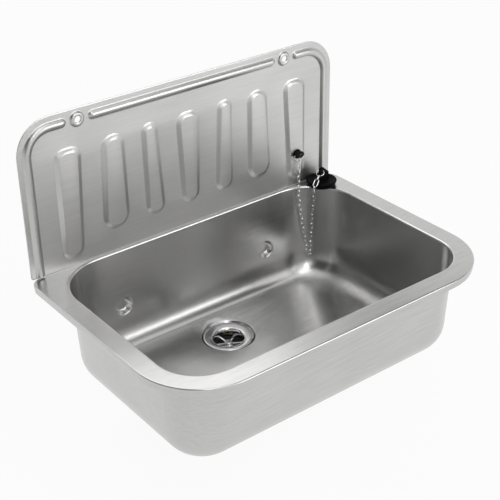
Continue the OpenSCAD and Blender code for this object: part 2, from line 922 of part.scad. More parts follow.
// Hangs a link between its upper and its lower joint, twisted round its own length
module hang_link(upper, lower, pitch, r, twist) {
    d = upper - lower;
    turn = atan2(d[1], d[0]);
    translate((upper + lower) / 2)
        rotate([0, 0, turn])
            rotate([0, acos(d[2] / norm(d)), 0])
                rotate([0, 0, twist - turn])
                    link(pitch, r);
}

// The point at a distance along a route
function along(route, s, i = 0) =
    let (step = norm(route[i + 1] - route[i]))
    s <= step || i == len(route) - 2
        ? route[i] + (route[i + 1] - route[i]) * s / step
        : along(route, s - step, i + 1);

function route_len(route, i = 0) =
    i == len(route) - 1 ? 0 : norm(route[i + 1] - route[i]) + route_len(route, i + 1);

module chain(route, twist) {
    count = floor(route_len(route) / link_pitch + 0.01);
    for (i = [0 : count - 1])
        hang_link(
            along(route, i * link_pitch),
            along(route, (i + 1) * link_pitch),
            link_pitch,
            link_r,
            twist + 90 * (i % 2)
        );
}

module anchor_chain() {
    color("silver")
        on_rim()
            chain(anchor_route, anchor_chain_twist);
}

module plug() {
    fin = [
        [-fin_r, -plug_t / 2],
        [-fin_r, eye_h],
        [0, eye_h + fin_r],
        [fin_r / 2, eye_h + fin_r * cos(30)],
        [fin_len - 1, fin_end_h],
        [fin_len, fin_end_h - 1],
        [fin_len, -plug_t / 2]
    ];
    color("black")
        on_rim()
            translate(plug_at) {
                rotate_extrude()
                    polygon([
                        [0, 0],
                        [plug_foot_r, 0],
                        [plug_r, plug_t - plug_edge],
                        [plug_r - plug_edge, plug_t],
                        [0, plug_t]
                    ]);
                translate([0, fin_t / 2, plug_t])
                    rotate([90, 0, 0])
                        difference() {
                            union() {
                                linear_extrude(fin_t)
                                    polygon(fin);
                                translate([0, eye_h, 0])
                                    cylinder(h = fin_t, r = fin_r);
                            }
                            translate([0, eye_h, -cut])
                                cylinder(h = fin_t + 2 * cut, r = eye_r);
                        }
            }
}

module plug_ring() {
    color("silver")
        on_rim()
            translate(eye_at)
                rotate([0, ring_dip, lead_angle])
                    translate([ring_r, 0, 0])
                        rotate_extrude()
                            translate([ring_r, 0])
                                circle(r = wire_r, $fn = wire_fn);
}

module ring_links() {
    color("silver")
        on_rim()
            hang_link(ring_joint, big_joint, link_pitch, link_r, ring_link_twist);
}

module plug_link() {
    color("silver")
        on_rim()
            hang_link(big_joint, drop_joint, big_pitch, big_r, big_twist);
}

module plug_chain() {
    color("silver")
        on_rim()
            chain(plug_route, plug_chain_twist);
}

basin();
splashback();
waste_flange();
flange_seal();
floor_seal();
waste_body();
waste_insert();
clamp_screw();
screw_washer();
anchor_screw();
anchor_washer();
anchor_nut();
anchor_head();
shackle();
anchor_chain();
plug();
plug_ring();
ring_links();
plug_link();
plug_chain();
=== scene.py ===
"""Looks of a wall-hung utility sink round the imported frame: pressed steel, waste, plug and chain."""

import json
import logging
import math
from collections.abc import Callable, Sequence
from dataclasses import dataclass, replace
from enum import Enum

import bmesh
import bpy
from mathutils import Matrix, Vector

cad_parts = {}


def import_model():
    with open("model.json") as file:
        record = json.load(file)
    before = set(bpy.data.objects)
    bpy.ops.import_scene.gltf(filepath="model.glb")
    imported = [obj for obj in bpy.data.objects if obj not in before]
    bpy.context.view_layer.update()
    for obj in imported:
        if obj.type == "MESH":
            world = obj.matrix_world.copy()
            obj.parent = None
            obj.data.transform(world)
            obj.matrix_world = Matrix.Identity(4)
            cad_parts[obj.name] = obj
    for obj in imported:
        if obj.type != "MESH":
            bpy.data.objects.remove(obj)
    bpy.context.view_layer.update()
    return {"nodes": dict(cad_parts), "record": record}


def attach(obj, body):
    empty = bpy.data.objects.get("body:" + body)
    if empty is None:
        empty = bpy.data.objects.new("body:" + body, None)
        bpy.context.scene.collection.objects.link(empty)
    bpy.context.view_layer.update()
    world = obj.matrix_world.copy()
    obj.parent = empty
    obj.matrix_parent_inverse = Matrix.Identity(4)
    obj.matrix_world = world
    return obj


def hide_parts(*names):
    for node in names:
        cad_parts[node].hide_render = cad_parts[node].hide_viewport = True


LOG = logging.getLogger("sink")

# Pieces are shaped in millimetres from the top of the rim and then put into the frame, in metres
RIM_Z = 0.005
INTO_FRAME = Matrix.Translation((0, 0, RIM_Z)) @ Matrix.Scale(0.001, 4)
TINY = 0.01
CORNER_STEPS = 12

Point = tuple[float, float, float]
Steps = tuple[tuple[float, float], ...]


class Body(Enum):
    """The bodies that the pieces ride on."""

    SINK = "sink"
    ANCHOR_RUN = "anchor_run"
    PLUG = "plug"
    PLUG_RUN = "plug_run"


class Grain(Enum):
    """The way in which the fine lines of a rolled sheet run, as stretches of the pattern along X, Y and Z."""

    ALONG_WIDTH = (1.0, 45.0, 45.0)
    ROUND_THE_BOWL = (1.6, 12.0, 40.0)
    NONE = (14.0, 14.0, 14.0)


# Finishes

# The fine noise's share of each pattern, how coarse the broad noise is, and the span that the mix uses
FINE_SHARE = 0.6
BROAD_SCALE = 9.0
MIX_SPAN = (0.3, 0.7)
SHEET_STEEL = (0.54, 0.538, 0.533)


def compute(
    tree: bpy.types.NodeTree, operation: str, *values: bpy.types.NodeSocket | float
) -> bpy.types.NodeSocket:
    """Adds a math node.

    Args:
        tree: The node tree.
        operation: What it computes.
        values: A socket or a number for each of its inputs.

    Returns:
        Its result.
    """
    node = tree.nodes.new("ShaderNodeMath")
    node.operation = operation
    for socket, value in zip(node.inputs, values):
        if isinstance(value, bpy.types.NodeSocket):
            tree.links.new(value, socket)
        else:
            socket.default_value = value
    return node.outputs[0]


@dataclass(frozen=True)
class Finish:
    """A material with its own fine grain in colour, roughness and surface.

    Attributes:
        name: The record's material slot.
        colour: The middle colour, as red, green and blue.
        metallic: 1 for bare metal and 0 for plastic and rubber.
        rough: The lowest and the highest roughness.
        grain: The way that the pattern runs.
        scale: How fine the pattern is.
        bump: The height of the surface's fine lines, in metres.
        shade: How far the colour varies about its middle.
        anisotropy: How far a highlight is drawn out across the grain.
        gloss: The strength of the reflection of plastic and rubber.
    """

    name: str
    colour: Point
    metallic: float
    rough: tuple[float, float]
    grain: Grain = Grain.NONE
    scale: float = 60.0
    bump: float = 0.00001
    shade: float = 0.05
    anisotropy: float = 0.0
    gloss: float = 0.5

    def make(self) -> bpy.types.Material:
        """Builds the node tree.

        Returns:
            The finished material.
        """
        material = bpy.data.materials.new(self.name)
        material.use_nodes = True
        tree = material.node_tree
        shader = tree.nodes["Principled BSDF"]
        for socket, value in (
            ("Metallic", self.metallic),
            ("Anisotropic", self.anisotropy),
            ("Anisotropic Rotation", 0.25),
            ("Specular IOR Level", self.gloss),
        ):
            shader.inputs[socket].default_value = value
        coords = tree.nodes.new("ShaderNodeTexCoord")
        fine = self._noise(tree, coords, self.scale, self.grain.value, 4.0)
        broad = self._noise(tree, coords, BROAD_SCALE, (1.0, 1.0, 1.0), 2.0)
        broad_part = compute(tree, "MULTIPLY", broad, 1 - FINE_SHARE)
        mixed = compute(tree, "MULTIPLY_ADD", fine, FINE_SHARE, broad_part)
        self._ramp(tree, mixed, shader)
        self._roughness(tree, mixed, shader)
        bump = tree.nodes.new("ShaderNodeBump")
        bump.inputs["Strength"].default_value = 1.0
        bump.inputs["Distance"].default_value = self.bump
        tree.links.new(fine, bump.inputs["Height"])
        tree.links.new(bump.outputs["Normal"], shader.inputs["Normal"])
        return material

    def _noise(
        self, tree: bpy.types.NodeTree, coords: bpy.types.Node, scale: float, stretch: Point, detail: float
    ) -> bpy.types.NodeSocket:
        """Adds a stretched noise on the piece's own coordinates.

        Args:
            tree: The material's node tree.
            coords: The texture coordinate node.
            scale: How fine the noise is.
            stretch: How much finer it is along X, Y and Z.
            detail: The number of finer layers in it.

        Returns:
            The noise, from 0 to 1.
        """
        mapping = tree.nodes.new("ShaderNodeMapping")
        mapping.inputs["Scale"].default_value = stretch
        tree.links.new(coords.outputs["Object"], mapping.inputs["Vector"])
        noise = tree.nodes.new("ShaderNodeTexNoise")
        noise.inputs["Scale"].default_value = scale
        noise.inputs["Detail"].default_value = detail
        tree.links.new(mapping.outputs["Vector"], noise.inputs["Vector"])
        return noise.outputs["Fac"]

    def _ramp(self, tree: bpy.types.NodeTree, mixed: bpy.types.NodeSocket, shader: bpy.types.Node) -> None:
        """Lets the colour vary between a darker and a lighter tone.

        Args:
            tree: The material's node tree.
            mixed: The mixed noise.
            shader: The material's shader.
        """
        ramp = tree.nodes.new("ShaderNodeValToRGB")
        gains = (1 - self.shade, 1 + self.shade)
        for stop, place, gain in zip(ramp.color_ramp.elements, MIX_SPAN, gains):
            stop.position = place
            stop.color = (*(min(1.0, c * gain) for c in self.colour), 1.0)
        tree.links.new(mixed, ramp.inputs["Fac"])
        tree.links.new(ramp.outputs["Color"], shader.inputs["Base Color"])

    def _roughness(
        self, tree: bpy.types.NodeTree, mixed: bpy.types.NodeSocket, shader: bpy.types.Node
    ) -> None:
        """Lets the roughness vary between its two limits.

        Args:
            tree: The material's node tree.
            mixed: The mixed noise.
            shader: The material's shader.
        """
        span = tree.nodes.new("ShaderNodeMapRange")
        limits = ("From Min", "From Max", "To Min", "To Max")
        for limit, value in zip(limits, (*MIX_SPAN, *self.rough)):
            span.inputs[limit].default_value = value
        tree.links.new(mixed, span.inputs["Value"])
        tree.links.new(span.outputs["Result"], shader.inputs["Roughness"])


class Finishes:
    """All finishes of the sink, by the record's slot."""

    KINDS = (
        Finish(
            "basin_steel",
            SHEET_STEEL,
            1.0,
            (0.25, 0.27),
            Grain.ROUND_THE_BOWL,
            scale=16.0,
            bump=0.000005,
            shade=0.07,
            anisotropy=0.4,
        ),
        Finish(
            "panel_steel",
            SHEET_STEEL,
            1.0,
            (0.33, 0.37),
            Grain.ALONG_WIDTH,
            scale=16.0,
            bump=0.000006,
            shade=0.08,
            anisotropy=0.6,
        ),
        Finish("waste_chrome", (0.8, 0.8, 0.81), 1.0, (0.05, 0.09), scale=90.0, bump=0.000003),
        Finish("seal_rubber", (0.03, 0.03, 0.03), 0.0, (0.6, 0.75), scale=400.0),
        Finish("waste_plastic", (0.028, 0.028, 0.03), 0.0, (0.45, 0.6), scale=300.0),
        Finish("insert_brass", (0.72, 0.55, 0.25), 1.0, (0.2, 0.3), scale=200.0),
        Finish("screw_steel", (0.6, 0.6, 0.62), 1.0, (0.15, 0.25), scale=200.0),
        Finish("anchor_screw_black", (0.02, 0.02, 0.022), 0.0, (0.3, 0.4), scale=300.0),
        Finish("fixing_steel", (0.58, 0.58, 0.6), 1.0, (0.25, 0.35), scale=200.0),
        Finish("anchor_plastic", (0.005, 0.005, 0.005), 0.0, (0.4, 0.5), scale=300.0, gloss=0.1),
        Finish("chain_metal", (0.86, 0.86, 0.87), 1.0, (0.14, 0.2), scale=300.0, bump=0.000002),
        Finish(
            "plug_rubber",
            (0.003, 0.003, 0.003),
            0.0,
            (0.5, 0.62),
            scale=300.0,
            bump=0.00002,
            gloss=0.06,
        ),
    )

    def __init__(self) -> None:
        """Makes every finish once."""
        self._made = {kind.name: kind.make() for kind in self.KINDS}

    def dress(self, piece: bpy.types.Object, slot: str) -> None:
        """Gives a piece the finish of a slot.

        Args:
            piece: The piece or the frame's node.
            slot: The record's material slot.
        """
        piece.data.materials.clear()
        piece.data.materials.append(self._made[slot])


# The bench


@dataclass(frozen=True)
class Plan:
    """A rounded rectangle seen from above, in millimetres.

    Attributes:
        half: Half its width.
        front: Its front edge's y.
        rear: Its rear edge's y.
        front_r: Its front corners' radius.
        rear_r: Its rear corners' radius.
    """

    half: float
    front: float
    rear: float
    front_r: float
    rear_r: float

    def inset(self, by: float) -> "Plan":
        """Returns the plan drawn in all round by a distance."""
        return Plan(self.half - by, self.front + by, self.rear - by, self.front_r - by, self.rear_r - by)


class Bench:
    """One mesh under the maker's hands, in edit mode, in millimetres from the top of the rim."""

    def __init__(self, name: str) -> None:
        """Starts an empty mesh.

        Args:
            name: The piece's name.
        """
        bpy.ops.object.select_all(action="DESELECT")
        self.piece = bpy.data.objects.new(name, bpy.data.meshes.new(name))
        bpy.context.scene.collection.objects.link(self.piece)
        bpy.context.view_layer.objects.active = self.piece
        self.piece.select_set(True)
        bpy.ops.object.mode_set(mode="EDIT")
        bpy.ops.mesh.select_mode(type="VERT")

    def _unpicked(self) -> bmesh.types.BMesh:
        """Unselects everything.

        Returns:
            The mesh in edit mode.
        """
        shape = bmesh.from_edit_mesh(self.piece.data)
        for part in (*shape.faces, *shape.edges, *shape.verts):
            part.select_set(False)
        return shape

    def _mark(self, parts: Sequence[bmesh.types.BMFace | bmesh.types.BMEdge]) -> None:
        """Selects faces or edges on top of what is selected.

        Args:
            parts: The faces or edges.
        """
        for part in parts:
            part.select_set(True)
        bmesh.update_edit_mesh(self.piece.data)

    def pick(self, test: Callable[[Vector], bool]) -> None:
        """Selects the shown vertices whose place passes a test, and the edges and faces between them.

        Args:
            test: Says whether a place is wanted.
        """
        shape = self._unpicked()
        for vert in shape.verts:
            if not vert.hide and test(vert.co):
                vert.select_set(True)
        shape.select_flush(True)
        bmesh.update_edit_mesh(self.piece.data)

    def pick_faces(self, test: Callable[[bmesh.types.BMFace], bool]) -> None:
        """Selects the shown faces that pass a test."""
        shape = self._unpicked()
        self._mark([face for face in shape.faces if not face.hide and test(face)])

    def pick_rims(self, test: Callable[[Vector], bool]) -> None:
        """Selects the open edges whose two ends pass a test.

        Args:
            test: Says whether a place is wanted.
        """
        shape = self._unpicked()
        rims = [edge for edge in shape.edges if len(edge.link_faces) < 2]
        self._mark([edge for edge in rims if all(test(vert.co) for vert in edge.verts)])

    def pick_all(self) -> None:
        """Selects all that is shown."""
        bpy.ops.mesh.select_all(action="SELECT")

    def fill_rims(self, test: Callable[[Vector], bool]) -> None:
        """Fills the space between the open edges whose two ends pass a test."""
        self.pick_rims(test)
        bpy.ops.mesh.fill(use_beauty=True)

    def round_corners(self, test: Callable[[Vector], bool], radius: float, steps: int) -> None:
        """Rounds the outline's corners whose places pass a test."""
        self.pick(test)
        bpy.ops.mesh.bevel(offset=radius, segments=steps, affect="VERTICES", clamp_overlap=False)

    def cut_away(self, kind: str = "ONLY_FACE") -> None:
        """Deletes what is selected, or only its faces."""
        bpy.ops.mesh.delete(type=kind)

    def move(self, by: Point) -> None:
        """Moves the selection by a step."""
        bpy.ops.transform.translate(value=by)

    def push(self, by: Point) -> None:
        """Extrudes the selection by a step."""
        bpy.ops.mesh.extrude_region_move(TRANSFORM_OT_translate={"value": by})

    def scale(self, by: Point, about: Point) -> None:
        """Scales the selection about a point."""
        bpy.ops.transform.resize(value=by, center_override=about)

    def press(self, steps: Sequence[tuple[float, float]]) -> None:
        """Draws the selected face in by rings, each with a width and a rise.

        Args:
            steps: The width and the rise of each ring.
        """
        for width, rise in steps:
            bpy.ops.mesh.inset(thickness=width, depth=rise, use_even_offset=True)

    def tuck_away(self) -> None:
        """Hides all that is there, so that only what comes next is worked on."""
        self.pick_all()
        bpy.ops.mesh.hide()

    def bring_back(self) -> None:
        """Shows everything again, with nothing selected."""
        bpy.ops.mesh.reveal(select=False)

    def outline(self, plan: Plan, height: float, across: int = 20, along: int = 8) -> None:
        """Adds a flat rounded rectangle as one face, selected, with everything else hidden.

        Args:
            plan: Its size and corners.
            height: Its z.
            across: The cuts along the front and the rear edge.
            along: The cuts along each side edge.
        """
        middle = (plan.front + plan.rear) / 2
        self.tuck_away()
        bpy.ops.mesh.primitive_plane_add(size=1, location=(0, middle, height))
        self.scale((2 * plan.half, plan.rear - plan.front, 1), (0, middle, height))
        self.round_corners(lambda p: p.y < middle, plan.front_r, CORNER_STEPS)
        self.round_corners(lambda p: p.y > middle, plan.rear_r, CORNER_STEPS)
        self.pick_all()
        self.cut_away()
        for cuts, axis in ((across, 0), (along, 1)):
            self._cut_straights(cuts, axis)
        self._cover()

    def _cut_straights(self, cuts: int, axis: int) -> None:
        """Divides the two straight edges of a bare outline that run along one axis.

        Args:
            cuts: The number of cuts in each.
            axis: 0 for X and 1 for Y.
        """
        shape = self._unpicked()
        runs = [edge for edge in shape.edges if not edge.hide]
        runs.sort(key=lambda edge: abs(edge.verts[1].co[axis] - edge.verts[0].co[axis]))
        self._mark(runs[-2:])
        bpy.ops.mesh.subdivide(number_cuts=cuts)

    def _cover(self) -> None:
        """Closes the shown outline with one face that looks up."""
        self.pick_all()
        bpy.ops.mesh.edge_face_add()
        shape = bmesh.from_edit_mesh(self.piece.data)
        face = next(face for face in shape.faces if face.select)
        if face.normal.z < 0:
            bpy.ops.mesh.flip_normals()

    def face_up(self, rank: Callable[[bmesh.types.BMFace], float]) -> None:
        """Turns all faces to one side, so that the face that ranks highest looks up.

        Args:
            rank: Gives a face its rank.
        """
        self.pick_all()
        bpy.ops.mesh.normals_make_consistent(inside=False)
        shape = bmesh.from_edit_mesh(self.piece.data)
        if max(shape.faces, key=rank).normal.z < 0:
            bpy.ops.mesh.flip_normals()

    def disc(self, radius: float, at: Point, lean: float = 0.0) -> None:
        """Adds a disc as one face, selected, with everything else hidden.

        Args:
            radius: Its radius.
            at: Its middle.
            lean: Its turn about X, in radians.
        """
        self.tuck_away()
        bpy.ops.mesh.primitive_circle_add(
            vertices=48, radius=radius, location=at, rotation=(lean, 0, 0), fill_type="NGON"
        )

    def spin(self, degrees: float, about: Point, steps: int) -> None:
        """Spins the selection round an upright axis, counter-clockwise seen from above.

        Args:
            degrees: The angle.
            about: A point on the axis.
            steps: The number of steps.
        """
        bpy.ops.mesh.spin(steps=steps, angle=-math.radians(degrees), center=about, axis=(0, 0, 1))

    def turn(self, profile: Sequence[tuple[float, float]], count: int, ring: bool = False) -> None:
        """Turns a profile round the Z axis, from a circle that is pushed and scaled step by step.

        Args:
            profile: The radius and the height at each step.
            count: The number of sides.
            ring: Whether the profile closes on itself. Otherwise a face closes each end.
        """
        self.tuck_away()
        radius, height = profile[0]
        filling = "NOTHING" if ring else "NGON"
        bpy.ops.mesh.primitive_circle_add(
            vertices=count, radius=radius, location=(0, 0, height), fill_type=filling
        )
        for next_r, next_z in (*profile[1:], profile[0]) if ring else profile[1:]:
            self.push((0, 0, next_z - height))
            self.scale((next_r / radius, next_r / radius, 1), (0, 0, next_z))
            radius, height = next_r, next_z
        self.weld()
        bpy.ops.mesh.normals_make_consistent(inside=False)

    def weld(self) -> None:
        """Merges doubled points of all that is shown, and leaves it selected."""
        self.pick_all()
        bpy.ops.mesh.remove_doubles(threshold=TINY / 5)
        self.pick_all()

    def block(self, size: Point, at: Point, edge: float) -> None:
        """Adds a block with bevelled edges, selected, with everything else hidden.

        Args:
            size: Its width, depth and height.
            at: Its middle.
            edge: The width of its bevels.
        """
        self.tuck_away()
        bpy.ops.mesh.primitive_cube_add(size=1, location=at)
        self.scale(size, at)
        bpy.ops.mesh.bevel(offset=edge, segments=2, affect="EDGES")
        self.pick_all()

    def swing(self, degrees: float, axis: str, about: Point) -> None:
        """Rotates the selection about a point."""
        bpy.ops.transform.rotate(value=math.radians(degrees), orient_axis=axis, center_override=about)

    def point(self, at: Point) -> None:
        """Adds one lone vertex, selected, with everything else hidden.

        Args:
            at: Its place.
        """
        self.tuck_away()
        bpy.ops.mesh.primitive_circle_add(vertices=3, radius=TINY, location=at)
        bpy.ops.mesh.merge(type="CENTER")

    def trace(self, points: Sequence[Point], shut: bool = False) -> None:
        """Draws a line of edges through points, selected, with everything else hidden.

        Args:
            points: The points in order.
            shut: Whether the last point joins the first.
        """
        self.point(points[0])
        for start, end in zip(points, (*points[1:], points[0]) if shut else points[1:]):
            self.push(tuple(Vector(end) - Vector(start)))
        self.weld()

    def close(self) -> None:
        """Leaves edit mode with everything shown."""
        self.bring_back()
        bpy.ops.object.mode_set(mode="OBJECT")

    def modify(self, kind: str, **settings: object) -> None:
        """Adds a modifier and applies it.

        Args:
            kind: The modifier's type.
            settings: Its settings.
        """
        modifier = self.piece.modifiers.new(kind.lower(), kind)
        for key, value in settings.items():
            setattr(modifier, key, value)
        bpy.ops.object.modifier_apply(modifier=modifier.name)

    def place(self, before: Matrix = Matrix.Identity(4), smooth: float = 40.0) -> bpy.types.Object:
        """Shades the piece and puts its mesh into the frame.

        Args:
            before: A move in millimetres from where it was shaped.
            smooth: The angle in degrees up to which its edges are shaded smooth.

        Returns:
            The finished piece.
        """
        self.piece.data.transform(INTO_FRAME @ before)
        bpy.ops.object.shade_smooth_by_angle(angle=math.radians(smooth))
        return self.piece


@dataclass
class Shop:
    """What every sub-assembly needs: the finishes, and a way to hand a piece over."""

    finishes: Finishes

    def hand_over(self, piece: bpy.types.Object, slot: str, body: Body, *nodes: str) -> None:
        """Dresses a piece and says what it rides on and stands for.

        Args:
            piece: The finished piece.
            slot: The record's material slot.
            body: The body that it moves with.
            nodes: The frame's nodes that it replaces.
        """
        self.finishes.dress(piece, slot)
        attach(piece, body.value)
        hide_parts(*nodes)
        LOG.info("%s: %d faces, for %s", piece.name, len(piece.data.polygons), ", ".join(nodes))


def round_steps(radius: float, count: int, rising: bool) -> list[tuple[float, float]]:
    """Splits a quarter round into rings.

    Args:
        radius: The quarter's radius.
        count: The number of rings.
        rising: Whether it starts steep, as up over an edge, or flat, as into a bowl.

    Returns:
        The width and the rise of each ring, both positive.
    """
    angles = [math.pi / 2 * i / count for i in range(count + 1)]
    pairs = zip(angles, angles[1:])
    steps = [(radius * (math.cos(a) - math.cos(b)), radius * (math.sin(b) - math.sin(a))) for a, b in pairs]
    return steps if rising else [(rise, width) for width, rise in steps]


# Sub-assemblies


@dataclass
class Basin:
    """The drawn bowl with its folded rim and its two pressed recesses."""

    rim: Plan = Plan(250, -336, 0, 87, 18)
    bowl: Plan = Plan(222.5, -306.6, -5.2, 56, 70)
    sheet: float = 0.9
    edge_h: float = 10
    edge_lean: float = 0.9
    bend_r: float = 1.6
    roll_r: float = 3
    depth: float = 140
    draft: float = 5
    base_r: float = 42
    base_rear_r: float = 27
    base_steps: int = 12
    fall: float = 5
    drain_y: float = -78
    recess: tuple[float, float] = (38.6, 35.0)
    recess_drop: float = 4
    recess_side: Steps = ((0.17, 0.06), (0.22, 0.25), (0.22, 0.38), (0.22, 0.25), (0.17, 0.06))
    hole_r: float = 24.5
    support: float = 0.25
    dish: Point = (121, -9.41, -83)
    dish_r: float = 14.2
    dish_steps: Steps = (
        *((0.4, 0), (0.5, -0.15), (0.6, -0.75), (0.6, -1.4), (1.3, -2.4)),
        *((0.9, -1.6), (0.7, -0.8), (0.8, -0.5), (0.8, -0.2), (0.8, 0.0)),
    )
    patch: float = 17

    def build(self, shop: Shop) -> None:
        """Shapes the basin from two outlines that are joined at the flat rim.

        Args:
            shop: The finishes, and the way to hand a piece over.
        """
        bench = Bench("basin_pressing")
        self._rim(bench)
        self._bowl(bench)
        self._floor(bench)
        bench.bring_back()
        bench.pick_rims(lambda p: abs(p.z) < TINY)
        bpy.ops.mesh.bridge_edge_loops()
        for side in (1, -1):
            self._dish(bench, side)
        bench.bring_back()
        bench.face_up(lambda face: face.calc_area() if abs(face.calc_center_median().z) < TINY else 0)
        bench.close()
        bench.modify(
            "SOLIDIFY", thickness=self.sheet, offset=-1, use_even_offset=True, use_quality_normals=True
        )
        shop.hand_over(bench.place(), "basin_steel", Body.SINK, "basin")

    def _rim(self, bench: Bench) -> None:
        """Raises the folded edge and bends it over into the flat of the rim.

        Args:
            bench: The basin's mesh.
        """
        rim = self.rim
        foot = replace(rim, half=rim.half - self.edge_lean, front=rim.front + self.edge_lean)
        bench.outline(foot, -self.edge_h)
        bench.push((0, 0, self.edge_h - self.bend_r))
        bench.scale((rim.half / foot.half, rim.front / foot.front, 1), (0, rim.rear, -self.bend_r))
        bench.press(round_steps(self.bend_r, 4, rising=True))
        bench.press([(self.support, 0)])
        bench.cut_away()
        bench.pick_faces(lambda face: abs(face.calc_center_median().z + self.edge_h) < TINY)
        bench.cut_away()

    def _bowl(self, bench: Bench) -> None:
        """Rolls the rim over into the bowl, and draws the walls and the round of the base.

        Args:
            bench: The basin's mesh.
        """
        bench.outline(self.bowl.inset(-self.roll_r - self.support), 0)
        bench.press([(self.support, 0)])
        bench.press([(width, -rise) for width, rise in round_steps(self.roll_r, 5, rising=False)])
        foot = self.depth - self.base_r
        bench.press([(self.draft, self.roll_r - foot)])
        front = self.bowl.front + self.draft
        rear = self.bowl.rear - self.draft
        before = (0.0, 0.0)
        bend = 90 / self.base_steps
        for i in range(1, self.base_steps + 1):
            angle = math.radians(bend * i)
            drawn = self.base_r * (1 - math.cos(angle))
            drawn_rear = self.base_rear_r * (1 - math.cos(angle))
            width = drawn - before[0]
            sink = math.sin(angle) - math.sin(angle - math.radians(bend))
            bench.press([(width, -self.base_r * sink)])
            old_depth = (rear - before[1]) - (front + before[0]) - 2 * width
            new_depth = (rear - drawn_rear) - (front + drawn)
            bench.scale((1, new_depth / old_depth, 1), (0, front + drawn, 0))
            before = (drawn, drawn_rear)

    def _floor(self, bench: Bench) -> None:
        """Runs the floor down to the recess round the drain, and opens the drain.

        Args:
            bench: The basin's mesh.
        """
        drain = Vector((0, self.drain_y, -self.depth))
        bench.push((0, 0, 0))
        bpy.ops.transform.tosphere(value=1, center_override=drain)
        shape = bmesh.from_edit_mesh(bench.piece.data)
        ring = [vert.co for vert in shape.verts if vert.select]
        radius = sum((co - drain).length for co in ring) / len(ring)
        bench.scale((self.recess[0] / radius, self.recess[0] / radius, 1), tuple(drain))
        bench.move((0, 0, -self.fall))
        slope = self.recess[0] - self.recess[1]
        bench.press([(slope * wide, -self.recess_drop * deep) for wide, deep in self.recess_side])
        bench.press([(self.recess[1] - self.hole_r, 0)])
        bench.cut_away()

    def _dish(self, bench: Bench, side: int) -> None:
        """Presses one dished recess into the rear wall, in a square patch that is cut out for it.

        Args:
            bench: The basin's mesh.
            side: 1 for the right and -1 for the left.
        """
        x, y, z = self.dish[0] * side, self.dish[1], self.dish[2]
        tilt = math.atan(self.draft / (self.depth - self.base_r - self.roll_r))
        top, foot = -self.roll_r, self.base_r - self.depth
        low, high = max(z - self.patch, foot + 0.1), z + self.patch
        # The flat of the rear wall lies behind wall_y and up to wall_half from the middle
        wall_y, wall_half = -12, 156

        def on_wall(place: Vector) -> bool:
            """Says whether a place is on the flat of the rear wall."""
            return place.y > wall_y and foot - 1 < place.z < top + 1 and abs(place.x) < wall_half

        def in_patch(place: Vector) -> bool:
            """Says whether a place is inside the patch."""
            return on_wall(place) and abs(place.x - x) < self.patch and low < place.z < high

        for plane_co, plane_no in (
            ((x - self.patch, 0, 0), (1, 0, 0)),
            ((x + self.patch, 0, 0), (1, 0, 0)),
            ((0, 0, low), (0, 0, 1)),
            ((0, 0, high), (0, 0, 1)),
        ):
            bench.pick_faces(lambda face: on_wall(face.calc_center_median()))
            bpy.ops.mesh.bisect(plane_co=plane_co, plane_no=plane_no)
        bench.pick_faces(lambda face: in_patch(face.calc_center_median()))
        bench.cut_away("FACE")
        bench.disc(self.dish_r, (x, y, z), math.pi / 2 - tilt)
        bench.press(self.dish_steps)
        bench.bring_back()
        reach = self.patch + TINY
        bench.fill_rims(
            lambda p: p.y > wall_y - 4 and abs(p.x - x) < reach and z - self.patch - 1 < p.z < z + reach
        )


